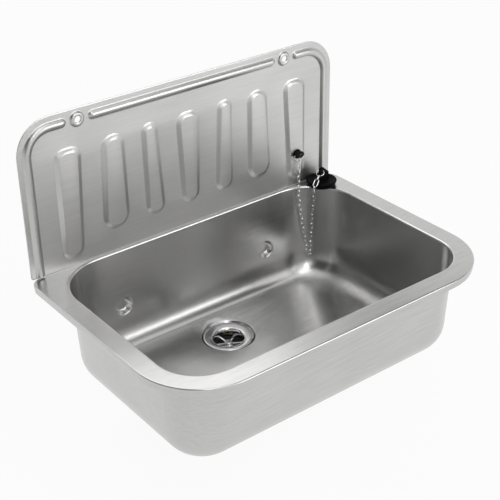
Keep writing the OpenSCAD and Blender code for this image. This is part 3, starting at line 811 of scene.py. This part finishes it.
@dataclass
class Splashback:
    """The hemmed panel with its ribs, its bead and its two fixing bosses, shaped lying down."""

    outline: Plan = Plan(246, 0, 211, 4, 47.5)
    face: float = 1.6
    sheet: float = 0.74
    hem: float = 6
    bead: tuple[float, float, float] = (233, 196.5, 34)
    bead_foot: float = 2
    bead_half: Steps = (
        *((7.2, 1.6), (6.4, 1.6), (5.8, 1.75), (5.35, 2.2), (4.9, 2.88)),
        *((4.09, 3.91), (2.89, 4.83), (1.5, 5.4), (0, 5.6)),
    )
    hole_x: float = 161
    boss_r: float = 11
    boss_steps: Steps = (
        *((0.5, 0), (0.6, 0.15), (0.6, 0.8), (0.6, 1.2), (0.6, 0.65), (0.6, 0.2), (1.6, 0)),
        *((0.7, -0.05), (0.6, -0.35), (0.3, -0.9), (0.1, -0.9)),
    )
    bead_break: float = 21.5
    rib_h: float = 3.5
    rib_top: float = 164
    rib_slope: float = 7.5
    rib_side: Steps = ((0.07, 0.01), (0.09, 0.06), (0.34, 0.43))
    rib_corner_r: float = 17
    ribs: tuple[tuple[float, float, float, float, float], ...] = (
        (0, 40, 0, 29, 31.5),
        (60, 26, 56, 32, 31.5),
        (114.3, 34.5, 117, 42, 31.5),
        (179, 41, 183.5, 33, 10),
    )
    anchor: tuple[float, float] = (182.66, 50)
    anchor_r: float = 2.2

    def build(self, shop: Shop) -> None:
        """Shapes the front face round its pressed forms, then gives it its thickness.

        Args:
            shop: The finishes, and the way to hand a piece over.
        """
        bench = Bench("splashback_pressing")
        self._hem(bench)
        for rib in self.ribs:
            for side in (1, -1) if rib[0] else (1,):
                self._rib(bench, side, *rib)
        for side in (1, -1):
            self._boss(bench, side)
            self._side_bead(bench, side)
        self._top_bead(bench)
        bench.bring_back()
        bench.weld()
        bench.fill_rims(lambda p: abs(p.z - self.face) < TINY)
        bench.weld()
        bench.face_up(lambda face: face.calc_center_median().z)
        bench.close()
        bench.modify("SOLIDIFY", thickness=self.sheet, offset=-1, use_even_offset=False)
        upright = Matrix.Rotation(math.pi / 2, 4, "X")
        shop.hand_over(bench.place(upright), "panel_steel", Body.SINK, "splashback")

    def _hem(self, bench: Bench) -> None:
        """Folds the edge round, from its middle to the flat of the front and to the hem at the back.

        Args:
            bench: The panel's mesh.
        """
        half = self.face / 2
        tight = half * 0.29
        wide = half - tight
        for way in (1, -1):
            bench.outline(self.outline, half, across=1, along=1)
            bench.press([(tight, way * wide), (wide, way * tight)])
            if way > 0:
                bench.press([(half, 0)])
            bench.cut_away()
        bench.outline(replace(self.outline.inset(self.hem), front_r=0.6), 0, across=1, along=1)
        bench.cut_away()
        bench.bring_back()
        bench.pick_rims(lambda p: abs(p.z) < TINY)
        bpy.ops.mesh.bridge_edge_loops()

    def _rib(
        self, bench: Bench, side: int, top_x: float, top_w: float, foot_x: float, foot_w: float, foot_z: float
    ) -> None:
        """Presses one tapered rib forwards.

        Args:
            bench: The panel's mesh.
            side: 1 for the right and -1 for the left.
            top_x: The middle of its top.
            top_w: The width of its top.
            foot_x: The middle of its foot.
            foot_w: The width of its foot.
            foot_z: The height of its foot.
        """
        bench.tuck_away()
        bpy.ops.mesh.primitive_plane_add(size=2, location=(0, 0, self.face))
        for x_side, y_side in ((-1, -1), (1, -1), (1, 1), (-1, 1)):
            x = top_x * side + x_side * top_w / 2 if y_side > 0 else foot_x * side + x_side * foot_w / 2
            y = self.rib_top if y_side > 0 else foot_z
            corner = Vector((x_side, y_side, self.face))
            bench.pick(lambda p, corner=corner: (p - corner).length < TINY)
            bench.move((x - x_side, y - y_side, 0))
        least_flat = 1
        corner_r = min(self.rib_corner_r, (top_w - least_flat) / 2)
        bench.round_corners(lambda p: p.y > self.rib_top - 1, corner_r, 10)
        bench.round_corners(lambda p: p.y < foot_z + 1, foot_w / 2 - 0.3, 14)
        bench.pick_all()
        shares = (*self.rib_side, *reversed(self.rib_side))
        bench.press([(self.rib_slope * wide, self.rib_h * high) for wide, high in shares])
        if abs(top_x * side - self.anchor[0]) < top_w / 2:
            self._anchor_hole(bench)

    def _anchor_hole(self, bench: Bench) -> None:
        """Opens the hole for the anchor's screw in the flat of the rib that was just pressed.

        Args:
            bench: The panel's mesh.
        """
        flat = self.face + self.rib_h
        bench.cut_away()
        bpy.ops.mesh.primitive_circle_add(vertices=24, radius=self.anchor_r, location=(*self.anchor, flat))
        bench.fill_rims(lambda p: abs(p.z - flat) < TINY)

    def _boss(self, bench: Bench, side: int) -> None:
        """Presses one boss forwards and opens its hole.

        Args:
            bench: The panel's mesh.
            side: 1 for the right and -1 for the left.
        """
        bench.disc(self.boss_r, (side * self.hole_x, self.bead[1], self.face))
        bench.press(self.boss_steps)
        bench.cut_away()

    def _section(self) -> list[tuple[float, float]]:
        """Returns the bead's section from one foot over its crown to the other, as offset and depth."""
        return [*self.bead_half, *((-offset, depth) for offset, depth in reversed(self.bead_half[:-1]))]

    def _side_bead(self, bench: Bench, side: int) -> None:
        """Pushes the bead's section up one side and round its corner, and rounds its end off.

        Args:
            bench: The panel's mesh.
            side: 1 for the right and -1 for the left.
        """
        x, top, corner = self.bead
        foot, turn_x = self.bead_foot, side * (x - corner)
        bench.trace([(side * x + offset, foot, depth) for offset, depth in self._section()])
        bench.push((0, top - corner - foot, 0))
        bench.spin(side * 90, (turn_x, top - corner, 0), 14)
        end_x = side * (self.hole_x + self.bead_break)
        bench.push((end_x - turn_x, 0, 0))
        self._round_off(bench, end_x, side)
        reach = self.bead_half[1][0]
        bench.trace([(side * x - reach, foot, self.face), (side * x + reach, foot, self.face)])

    def _top_bead(self, bench: Bench) -> None:
        """Pushes the bead's section across between the two bosses, and rounds both ends off.

        Args:
            bench: The panel's mesh.
        """
        top = self.bead[1]
        end_x = self.hole_x - self.bead_break
        bench.trace([(-end_x, top + offset, depth) for offset, depth in self._section()])
        bench.push((2 * end_x, 0, 0))
        self._round_off(bench, end_x, -1)
        self._round_off(bench, -end_x, 1)

    def _round_off(self, bench: Bench, end_x: float, way: int) -> None:
        """Spins half the section at one end of a bead into a round end.

        Args:
            bench: The panel's mesh.
            end_x: Where the bead ends.
            way: 1 where the round end points left and -1 where it points right.
        """
        top = self.bead[1]
        bench.pick(lambda p: abs(p.x - end_x) < TINY and p.y > top - TINY)
        bench.spin(way * 180, (end_x, top, 0), 12)
        bench.weld()


@dataclass
class Waste:
    """The chrome flange with its strainer, the plastic body under the floor and the clamp screw."""

    drain_y: float = -78
    flange: Steps = (
        *((24.1, -148.0), (34.1, -148.0), (34.42, -147.85), (34.5, -147.5), (34.4, -147.0)),
        *((34.0, -146.6), (33.3, -146.42), (32.0, -146.45), (29.6, -146.75), (27.0, -147.2)),
        *((24.9, -147.6), (23.6, -147.95), (22.7, -148.5), (21.9, -149.4), (21.3, -150.6)),
        *((21.0, -152.2), (21.0, -160.5), (22.2, -160.5), (22.2, -151.0), (24.1, -149.2)),
    )
    hub: Steps = (
        *((3.2, -160.5), (6.2, -160.5), (6.5, -160.2), (6.5, -158.9)),
        *((6.2, -158.55), (5.6, -158.5), (3.2, -158.5)),
    )
    spokes: int = 6
    spoke: Point = (15.4, 3, 2)
    spoke_start: float = 6
    cup_foot: float = -160.5
    body_top: float = -152.4
    body_end: float = -206.4
    body_seat: tuple[float, float] = (22.5, -160.8)
    body_flange_r: float = 36
    body_flange_t: float = 4
    neck_r: float = 25.9
    bore_r: float = 20.5
    thread_top: float = -186.4
    thread: tuple[float, float, float] = (23.9, 23.1, 2.0)
    boss: Steps = ((4.65, -178.8), (4.65, -166.8), (6.7, -166.8), (7, -167.1), (7, -184.4), (6.6, -184.8))
    web: Point = (44.4, 2.5, 16)
    web_z: float = -176.8
    screw_seat: float = -157.7
    screw_end: float = -175.8

    def build(self, shop: Shop) -> None:
        """Makes the flange, the body and the clamp screw on the drain's axis.

        Args:
            shop: The finishes, and the way to hand a piece over.
        """
        at_drain = Matrix.Translation((0, self.drain_y, 0))
        shop.hand_over(self._flange().place(at_drain), "waste_chrome", Body.SINK, "waste_flange")
        shop.hand_over(self._body().place(at_drain, smooth=30), "waste_plastic", Body.SINK, "waste_body")
        length = self.screw_seat - self.screw_end
        screw = SlottedScrew(
            "clamp_screw_turned", shank_r=3, head_r=5.4, head_h=2.4, length=length, slot_w=1.2, slot_d=1.2
        )
        seat = at_drain @ Matrix.Translation((0, 0, self.screw_seat))
        shop.hand_over(screw.build(seat), "screw_steel", Body.SINK, "clamp_screw")

    def _flange(self) -> Bench:
        """Turns the flange and its cup, and sets the strainer's hub and spokes into it.

        Returns:
            The bench with the flange, out of edit mode.
        """
        bench = Bench("waste_flange_chromed")
        bench.turn(self.flange, 96, ring=True)
        bench.turn(self.hub, 48, ring=True)
        length, width, height = self.spoke
        middle = (self.spoke_start + length / 2, 0, self.cup_foot + height / 2)
        bench.block((length, width, height), middle, 0.55)
        bench.swing(180 / self.spokes, "Z", (0, 0, 0))
        for _ in range(self.spokes - 1):
            bpy.ops.mesh.duplicate()
            bench.swing(360 / self.spokes, "Z", (0, 0, 0))
        bench.close()
        return bench

    def _body(self) -> Bench:
        """Turns the body with its flange and its thread, and sets the boss and its two webs into it.

        Returns:
            The bench with the body, out of edit mode.
        """
        bench = Bench("waste_body_moulded")
        crest, root, pitch = self.thread
        top, flange_r, neck_r = self.body_top, self.body_flange_r, self.neck_r
        foot = top - self.body_flange_t
        seat_r, seat_z = self.body_seat
        walls = [(seat_r, top), (flange_r - 0.5, top), (flange_r, top - 0.5), (flange_r, foot + 0.5)]
        walls += [(flange_r - 0.5, foot), (neck_r + 1.1, foot), (neck_r, foot - 1.1)]
        walls += [(neck_r, self.thread_top + 0.4), (neck_r - 0.4, self.thread_top)]
        height, end = self.thread_top, self.body_end
        while height - pitch > end + 0.1:
            walls += [(root, height - 0.3), (root, height - 0.8)]
            walls += [(crest, height - 1.3), (crest, height - 1.7)]
            height -= pitch
        walls += [(root, height - 0.3), (root, end + 0.5), (root - 0.4, end)]
        walls += [(self.bore_r + 0.4, end), (self.bore_r, end + 0.4), (self.bore_r, seat_z), (seat_r, seat_z)]
        bench.turn(walls, 72, ring=True)
        bench.turn(self.boss, 32)
        length, thick, tall = self.web
        bench.block((length, thick, tall), (0, 0, self.web_z), 0.4)
        bench.block((thick, length, tall), (0, 0, self.web_z), 0.4)
        bench.close()
        return bench


@dataclass
class SlottedScrew:
    """A screw with a rounded, slotted head, turned with its seat at z = 0 and its shank below.

    Attributes:
        name: The piece's name.
        shank_r: The shank's radius.
        head_r: The head's radius.
        head_h: The head's height.
        length: The shank's length.
        slot_w: The slot's width.
        slot_d: The slot's depth.
    """

    name: str
    shank_r: float
    head_r: float
    head_h: float
    length: float
    slot_w: float
    slot_d: float

    def build(self, seat: Matrix) -> bpy.types.Object:
        """Turns the screw and saws its slot.

        Args:
            seat: Where the underside of its head goes.

        Returns:
            The finished screw.
        """
        bench = Bench(f"{self.name}_saw")
        bench.block((3 * self.head_r, self.slot_w, 2 * self.slot_d), (0, 0, self.head_h), 0.01)
        bench.close()
        saw = bench.piece
        bench = Bench(self.name)
        head_r, head_h, crown = self.head_r, self.head_h, 0.45
        profile = [(self.shank_r - 0.5, -self.length), (self.shank_r, -self.length + 0.5), (self.shank_r, 0)]
        profile += [(head_r - 0.1, 0), (head_r, 0.15), (head_r, head_h * crown)]
        for a in (0.35, 0.7, 1.0, 1.25):
            profile.append((head_r * math.cos(a) ** 0.5, head_h * (crown + (1 - crown) * math.sin(a))))
        bench.turn(profile, 40)
        bench.close()
        bench.modify("BOOLEAN", operation="DIFFERENCE", object=saw, solver="EXACT")
        bpy.data.objects.remove(saw)
        return bench.place(seat, smooth=35)


@dataclass
class Anchor:
    """The black head that holds the chain on the splashback, and its wire shackle."""

    at: Point = (182.657, 0, 50)
    foot_d: float = 5.18
    foot: tuple[float, float] = (7, 1.6)
    hole_r: float = 2.75
    barrel_d: float = 10.38
    barrel_r: float = 4.4
    barrel_end_r: float = 3
    barrel_half: float = 7.5
    wire_r: float = 0.6
    shackle: tuple[Point, ...] = ((4.9, 0, 0), (8.4, 0, 0), (8.4, 0, -3.6), (1.6, 0, -10.5), (0, 0, -10.5))

    def build(self, shop: Shop) -> None:
        """Makes the head and the shackle.

        Args:
            shop: The finishes, and the way to hand a piece over.
        """
        outwards = Matrix.Translation(self.at) @ Matrix.Rotation(math.pi / 2, 4, "X")
        shop.hand_over(self._head().place(outwards), "anchor_plastic", Body.ANCHOR_RUN, "anchor_head")
        centre = Matrix.Translation((self.at[0], -self.barrel_d, self.at[2]))
        shop.hand_over(self._shackle().place(centre), "chain_metal", Body.ANCHOR_RUN, "shackle")

    def _head(self) -> Bench:
        """Turns the barrel and lays it across the turned foot and its neck.

        Returns:
            The bench with the head, out of edit mode.
        """
        bench = Bench("anchor_head_moulded")
        end, r, half = self.barrel_end_r, self.barrel_r, self.barrel_half
        profile = [(0.7, -half + 1.5), (0.75, -half), (end - 0.5, -half), (end, -half + 0.5)]
        profile += [(r - 0.1, -4.4), (r, -3.6), (r, 3.6), (r - 0.1, 4.4)]
        profile += [(end, half - 0.5), (end - 0.5, half), (0.75, half), (0.7, half - 1.5)]
        bench.turn(profile, 40)
        bench.swing(90, "Y", (0, 0, 0))
        bench.move((0, 0, self.barrel_d))
        foot_r, foot_t = self.foot
        top = self.foot_d + foot_t
        profile = [(self.hole_r, self.foot_d), (foot_r - 0.3, self.foot_d), (foot_r, self.foot_d + 0.3)]
        profile += [(foot_r, top - 0.5), (foot_r - 0.5, top), (r + 0.6, top), (r, top + 0.6)]
        profile += [(r - 0.2, self.barrel_d), (self.hole_r, self.barrel_d)]
        bench.turn(profile, 48, ring=True)
        bench.close()
        return bench

    def _shackle(self) -> Bench:
        """Bends one wire from the barrel's one end round to its other.

        Returns:
            The bench with the wire, out of edit mode.
        """
        right = list(self.shackle)
        left = [(-x, y, z) for x, y, z in reversed(right[:-1])]
        return bent_wire("shackle_wire", [*right, *left], self.wire_r, 0.9)


def bent_wire(name: str, points: Sequence[Point], radius: float, bend: float) -> Bench:
    """Draws a wire along points and rounds its bends.

    Args:
        name: The piece's name.
        points: The wire's middle line.
        radius: The wire's radius.
        bend: How far from a corner a bend starts.

    Returns:
        The bench with the wire, out of edit mode.
    """
    bench = Bench(name)
    bench.trace(points)
    bench.pick(lambda p: (p - Vector(points[0])).length > TINY and (p - Vector(points[-1])).length > TINY)
    bpy.ops.mesh.bevel(offset=bend, segments=5, affect="VERTICES", clamp_overlap=True)
    bench.close()
    bpy.ops.object.convert(target="CURVE")
    bench.piece = bpy.context.object
    curve = bench.piece.data
    curve.bevel_depth = radius
    curve.bevel_resolution = 3
    curve.use_fill_caps = True
    bpy.ops.object.convert(target="MESH")
    bench.piece = bpy.context.object
    bench.piece.data.name = name
    return bench


@dataclass(frozen=True)
class WireLink:
    """One closed link of bent wire, standing upright with its width along X.

    Attributes:
        sides: The steps round it.
        pitch: The distance between its two joints.
        radius: The radius of its round ends, at the middle of the wire.
        wire_r: The wire's radius.
        play: The free space in a joint.
    """

    sides: int = 18
    pitch: float = 7.4
    radius: float = 1.9
    wire_r: float = 0.6
    play: float = 0.3

    def model(self, name: str) -> Bench:
        """Bends a ring and draws its two halves apart.

        Args:
            name: The piece's name.

        Returns:
            The bench with the link, out of edit mode.
        """
        bench = Bench(name)
        bpy.ops.mesh.primitive_torus_add(
            major_radius=self.radius,
            minor_radius=self.wire_r,
            major_segments=self.sides,
            minor_segments=8,
            rotation=(math.pi / 2, math.pi / self.sides, 0),
        )
        straight = self.pitch / 2 + self.wire_r + self.play / 2 - self.radius
        for way in (1, -1):
            bench.pick(lambda p, way=way: p.z * way > 0)
            bench.move((0, 0, way * straight))
        bench.close()
        return bench


def hung(upper: Vector, lower: Vector, twist: float) -> Matrix:
    """Says how a link hangs between its upper and its lower joint.

    Args:
        upper: The upper joint.
        lower: The lower joint.
        twist: The link's turn round its own length, in degrees.

    Returns:
        The link's place.
    """
    rise = upper - lower
    turn = math.atan2(rise.y, rise.x)
    return (
        Matrix.Translation((upper + lower) / 2)
        @ Matrix.Rotation(turn, 4, "Z")
        @ Matrix.Rotation(math.acos(rise.z / rise.length), 4, "Y")
        @ Matrix.Rotation(math.radians(twist) - turn, 4, "Z")
    )


def along(route: Sequence[Vector], reach: float) -> Vector:
    """Finds the point at a distance along a route of straight steps.

    Args:
        route: The route's points, in order.
        reach: The distance from its start.

    Returns:
        The point.
    """
    for start, end in zip(route, route[1:]):
        step = (end - start).length
        if reach <= step or end is route[-1]:
            return start + (end - start) * (reach / step)
        reach -= step
    return route[-1]


@dataclass
class PlugAndChain:
    """The rubber plug, the ring in its eye and the two lengths of chain that hang to the anchor."""

    plug_at: Point = (213, -24.6, 0)
    disc: Steps = (
        *((18.6, 0.0), (19.4, 0.1), (19.85, 0.6), (21.6, 5.6), (22.0, 6.6), (21.9, 7.2)),
        *((21.4, 7.75), (20.6, 8.0), (18.6, 7.9), (17.6, 7.3), (8.0, 7.3)),
    )
    eye: Point = (213, -24.6, 22)
    eye_r: float = 2
    fin_r: float = 4.6
    fin_t: float = 3.2
    fin_back: Steps = ((-5.4, 6.5), (-4.6, 10.0))
    fin_tail: Steps = ((10.6, 18.6), (11.8, 17.6), (12.4, 16.0), (12.6, 10.0), (13.4, 6.5))
    ring_r: float = 5.5
    ring_dip: float = 28.8
    lead: float = 205
    small: WireLink = WireLink()
    large: WireLink = WireLink(pitch=11, radius=3)
    small_twist: float = 65
    anchor_twist: float = 90
    ring_joint: Point = (204.859, -28.396, 17.062)
    big_joint: Point = (198.982, -31.137, 13.497)
    drop_joint: Point = (191.345, -34.698, 6.426)
    anchor_at: Point = (182.657, -10.38, 50)
    anchor_steps: tuple[Point, ...] = (
        *((0, 0, -9.75), (-2.2, -2.2, -22), (-4.2, -4.2, -38), (-5.2, -5.8, -58)),
        *((-4.8, -7.8, -78), (-3.2, -10.2, -98), (-1.2, -12.2, -116), (0.8, -13.8, -132)),
        *((2.2, -15.2, -146), (2.8, -16.6, -154), (4.6, -22.2, -160)),
    )
    plug_steps: tuple[Point, ...] = (
        *((0, 0, 0), (-2.6, -1.2, -6.7), (-3.2, -1.1, -26)),
        *((-4.2, 0.2, -56), (-4.9, 1.4, -86), (-4.7, 2.2, -111)),
    )

    def build(self, shop: Shop) -> None:
        """Makes the plug, the ring, the links and the two lengths of chain.

        Args:
            shop: The finishes, and the way to hand a piece over.
        """
        shop.hand_over(self._plug(), "plug_rubber", Body.PLUG, "plug")
        shop.hand_over(self._ring(), "chain_metal", Body.PLUG, "plug_ring")
        ring, big, drop = (Vector(p) for p in (self.ring_joint, self.big_joint, self.drop_joint))
        link = self.small.model("ring_link_wire").place(hung(ring, big, self.small_twist))
        shop.hand_over(link, "chain_metal", Body.PLUG, "ring_links")
        link = self.large.model("large_link_wire").place(hung(big, drop, self.lead - 90))
        shop.hand_over(link, "chain_metal", Body.PLUG_RUN, "plug_link")
        anchor = Vector(self.anchor_at)
        chain = self._chain("anchor_chain_wire", anchor, self.anchor_steps, self.anchor_twist)
        shop.hand_over(chain, "chain_metal", Body.ANCHOR_RUN, "anchor_chain")
        chain = self._chain("plug_chain_wire", drop, self.plug_steps, self.lead)
        shop.hand_over(chain, "chain_metal", Body.PLUG_RUN, "plug_chain")

    def _plug(self) -> bpy.types.Object:
        """Turns the plug's disc and sets the fin with its eye on it.

        Returns:
            The finished plug.
        """
        bench = Bench("plug_moulded")
        bench.turn(self.disc, 72)
        height, half = self.eye[2], self.fin_t / 2
        angles = [math.radians(180 - 15 * i) for i in range(11)]
        crown = [(self.fin_r * math.cos(a), height + self.fin_r * math.sin(a)) for a in angles]
        bench.trace([(x, half, z) for x, z in (*self.fin_back, *crown, *self.fin_tail)], shut=True)
        bpy.ops.mesh.primitive_circle_add(
            vertices=24, radius=self.eye_r, location=(0, half, height), rotation=(math.pi / 2, 0, 0)
        )
        bench.fill_rims(lambda p: True)
        bench.pick_all()
        bench.push((0, -self.fin_t, 0))
        bench.pick_all()
        bpy.ops.mesh.normals_make_consistent(inside=False)
        bench.close()
        sharp = math.radians(50)
        bench.modify("BEVEL", width=0.6, segments=2, limit_method="ANGLE", angle_limit=sharp)
        return bench.place(Matrix.Translation(self.plug_at))

    def _ring(self) -> bpy.types.Object:
        """Bends the ring that hangs in the plug's eye.

        Returns:
            The finished ring.
        """
        bench = Bench("plug_ring_wire")
        bpy.ops.mesh.primitive_torus_add(
            major_radius=self.ring_r,
            minor_radius=self.small.wire_r,
            major_segments=40,
            minor_segments=10,
        )
        bench.move((self.ring_r, 0, 0))
        bench.close()
        turn = Matrix.Rotation(math.radians(self.lead), 4, "Z")
        dip = Matrix.Rotation(math.radians(self.ring_dip), 4, "Y")
        return bench.place(Matrix.Translation(self.eye) @ turn @ dip)

    def _chain(self, name: str, top: Vector, steps: Sequence[Point], twist: float) -> bpy.types.Object:
        """Copies one link along a route, each turned a quarter from the last.

        Args:
            name: The piece's name.
            top: The point that the route is measured from.
            steps: The route's bends, measured from there.
            twist: The first link's turn, in degrees.

        Returns:
            The finished length of chain.
        """
        route = [top + Vector(step) for step in steps]
        link = self.small
        bench = link.model(name)
        shape = bench.piece.data.copy()
        length = sum((b - a).length for a, b in zip(route, route[1:]))
        count = math.floor(length / link.pitch + 0.01)
        for i in range(count):
            upper, lower = (along(route, k * link.pitch) for k in (i, i + 1))
            place = hung(upper, lower, twist + 90 * (i % 2))
            if i == 0:
                bench.piece.data.transform(place)
                continue
            copy = bpy.data.objects.new(f"{name}_{i}", shape.copy())
            copy.data.transform(place)
            bpy.context.scene.collection.objects.link(copy)
            copy.select_set(True)
        bpy.ops.object.join()
        bpy.data.meshes.remove(shape)
        return bench.place()


# The stage and the camera

# The point that the lamps and the cards are turned to, and the middle of the circles that they stand on
STAGE_MIDDLE = Vector((0, -0.15, -0.1))


@dataclass
class PhotoCamera:
    """The camera of the photograph, as turns about the frame's axes, in degrees and metres."""

    azimuth: float = -37.297
    elevation: float = 29.578
    roll: float = -1.0193
    distance: float = 1.57585
    right: float = 0.07896
    up: float = -0.03791
    lens: float = 83.149
    sensor: float = 36.0
    origin: Point = (0, -0.0016, RIM_Z)

    def build(self) -> None:
        """Adds the camera and makes it the scene's."""
        a, e, r = (math.radians(v) for v in (self.azimuth, self.elevation, self.roll))
        back = Vector((math.sin(a) * math.cos(e), -math.cos(a) * math.cos(e), math.sin(e)))
        level = Vector((math.cos(a), math.sin(a), 0))
        rise = back.cross(level)
        right = level * math.cos(r) + rise * math.sin(r)
        up = rise * math.cos(r) - level * math.sin(r)
        data = bpy.data.cameras.new("photo_camera")
        data.lens, data.sensor_width = self.lens, self.sensor
        data.clip_start, data.clip_end = 0.05, 50
        camera = bpy.data.objects.new("photo_camera", data)
        turn = Matrix((right, up, back)).transposed().to_4x4()
        spot = Vector(self.origin) + right * self.right + up * self.up + back * self.distance
        camera.matrix_world = Matrix.Translation(spot) @ turn
        bpy.context.scene.collection.objects.link(camera)
        bpy.context.scene.camera = camera


@dataclass(frozen=True)
class Stand:
    """A lamp or a card on its stand, turned to the object.

    Attributes:
        name: Its name.
        bearing: The angle round the object from straight in front, to the right.
        height: The angle above the rim.
        distance: How far away it is.
        width: Its width.
        tall: Its height.
        value: A lamp's power, or a card's grey.
    """

    name: str
    bearing: float
    height: float
    distance: float
    width: float
    tall: float
    value: float

    def place(self) -> Matrix:
        """Works out its place, with its back along its own Z.

        Returns:
            Its place in the scene.
        """
        around, up = math.radians(self.bearing), math.radians(self.height)
        away = Vector((math.sin(around) * math.cos(up), -math.cos(around) * math.cos(up), math.sin(up)))
        spot = STAGE_MIDDLE + away * self.distance
        return Matrix.Translation(spot) @ away.to_track_quat("Z", "Y").to_matrix().to_4x4()


@dataclass
class Studio:
    """A pale floor, soft lamps, dark cards for the metal to reflect, and a white surround.

    Attributes:
        floor_z: The floor's height.
        floor_grey: The floor's grey, as a light reflector.
        floor_white: How much of plain white is mixed over the floor where it is seen.
        surround_light: The strength of the world's light.
        lamps: The lamps.
        cards: The dark cards.
    """

    floor_z: float = -0.215
    floor_grey: float = 0.75
    floor_white: float = 0.93
    surround_light: float = 0.8
    lamps: tuple[Stand, ...] = (
        Stand("low_lamp", 27, 16, 2.2, 1.2, 1.0, 12.5),
        Stand("narrow_lamp", 333, 38, 2.2, 0.25, 0.9, 3.5),
        Stand("back_lamp", 165, 53, 2.0, 1.4, 0.6, 4.2),
        Stand("top_lamp", 345, 60, 2.0, 1.0, 1.0, 3.5),
    )
    cards: tuple[Stand, ...] = (
        Stand("left_card", 272, 38, 2.2, 3.2, 1.7, 0.06),
        Stand("low_card", 318, 12, 2.3, 2.0, 0.8, 0.06),
        Stand("front_card", 55, 42, 2.4, 1.7, 0.9, 0.06),
        Stand("right_card", 116, 54, 2.4, 1.1, 1.5, 0.1),
    )

    def build(self) -> None:
        """Adds the floor, the cards, the lamps and the surround."""
        bpy.ops.object.select_all(action="DESELECT")
        bpy.ops.mesh.primitive_plane_add(size=14, location=(0, 0, self.floor_z))
        floor = bpy.context.object
        floor.name = "studio_floor"
        floor.data.materials.append(self._floor_paint())
        for stand in self.cards:
            self._card(stand)
        for stand in self.lamps:
            self._lamp(stand)
        self._surround()
        bpy.context.scene.view_settings.view_transform = "Standard"

    def _card(self, stand: Stand) -> None:
        """Stands up a dark card, out of the camera's view.

        Args:
            stand: The card's stand.
        """
        bpy.ops.object.select_all(action="DESELECT")
        bpy.ops.mesh.primitive_plane_add(size=1)
        card = bpy.context.object
        card.name = stand.name
        card.matrix_world = stand.place() @ Matrix.Diagonal((stand.width, stand.tall, 1, 1))
        card.visible_camera = False
        card.data.materials.append(self._matt(f"{stand.name}_paint", stand.value))

    def _matt(self, name: str, grey: float) -> bpy.types.Material:
        """Mixes a matt grey paint.

        Args:
            name: The paint's name.
            grey: Its grey.

        Returns:
            The paint.
        """
        paint = bpy.data.materials.new(name)
        paint.use_nodes = True
        matt = paint.node_tree.nodes["Principled BSDF"]
        matt.inputs["Base Color"].default_value = (grey, grey, grey, 1)
        matt.inputs["Roughness"].default_value = 0.9
        return paint

    def _lamp(self, stand: Stand) -> None:
        """Adds one rectangular lamp.

        Args:
            stand: The lamp's stand.
        """
        data = bpy.data.lights.new(stand.name, "AREA")
        data.shape = "RECTANGLE"
        data.size, data.size_y, data.energy = stand.width, stand.tall, stand.value
        lamp = bpy.data.objects.new(stand.name, data)
        lamp.matrix_world = stand.place()
        bpy.context.scene.collection.objects.link(lamp)

    def _seen_rays(self, tree: bpy.types.NodeTree, weight: float) -> bpy.types.NodeSocket:
        """Adds up the rays that see the background: the camera's, and those that metal and glass send on.

        Args:
            tree: The node tree.
            weight: The weight of each of these rays.

        Returns:
            The weight of the ray at hand.
        """
        path = tree.nodes.new("ShaderNodeLightPath")
        seen = path.outputs["Is Camera Ray"]
        for kind in ("Is Glossy Ray", "Is Transmission Ray"):
            seen = compute(tree, "MAXIMUM", seen, path.outputs[kind])
        return compute(tree, "MULTIPLY", seen, weight)

    def _white_where_seen(
        self, tree: bpy.types.NodeTree, lit: bpy.types.Node, white: bpy.types.Node, weight: float, end: str
    ) -> None:
        """Mixes plain white over a shader, for the rays that see the background.

        Args:
            tree: The node tree.
            lit: The shader that all other rays see.
            white: The shader that becomes white.
            weight: How much of the white these rays see.
            end: The name of the tree's output node.
        """
        white.inputs["Color"].default_value = (1, 1, 1, 1)
        white.inputs["Strength"].default_value = 1.0
        mix = tree.nodes.new("ShaderNodeMixShader")
        tree.links.new(self._seen_rays(tree, weight), mix.inputs[0])
        tree.links.new(lit.outputs[0], mix.inputs[1])
        tree.links.new(white.outputs[0], mix.inputs[2])
        tree.links.new(mix.outputs[0], tree.nodes[end].inputs["Surface"])

    def _floor_paint(self) -> bpy.types.Material:
        """Makes a matt floor that is white where it is seen and keeps the object's shadow.

        Returns:
            The paint.
        """
        paint = self._matt("floor_paint", self.floor_grey)
        tree = paint.node_tree
        glow = tree.nodes.new("ShaderNodeEmission")
        matt = tree.nodes["Principled BSDF"]
        self._white_where_seen(tree, matt, glow, self.floor_white, "Material Output")
        return paint

    def _surround(self) -> None:
        """Makes the world white where it is seen, and softer as a light."""
        world = bpy.data.worlds.new("surround")
        bpy.context.scene.world = world
        world.use_nodes = True
        tree = world.node_tree
        light = tree.nodes["Background"]
        light.inputs["Color"].default_value = (1, 1, 1, 1)
        light.inputs["Strength"].default_value = self.surround_light
        white = tree.nodes.new("ShaderNodeBackground")
        self._white_where_seen(tree, light, white, 1.0, "World Output")


def dress_nodes(frame: dict, finishes: Finishes) -> None:
    """Gives every node of the frame the finish of its own slot.

    Args:
        finishes: All finishes.
    """
    slots = {part["node"]: part["material_slot"] for part in frame["record"]["subparts"]}
    for name, node in frame["nodes"].items():
        finishes.dress(node, slots[name])


def main() -> None:
    """Builds the whole object round the frame."""
    logging.basicConfig(level=logging.INFO, format="%(name)s: %(message)s")
    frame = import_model()
    PhotoCamera().build()
    Studio().build()
    shop = Shop(Finishes())
    dress_nodes(frame, shop.finishes)
    for assembly in (Basin(), Splashback(), Waste(), Anchor(), PlugAndChain()):
        assembly.build(shop)


if __name__ == "__main__":
    main()
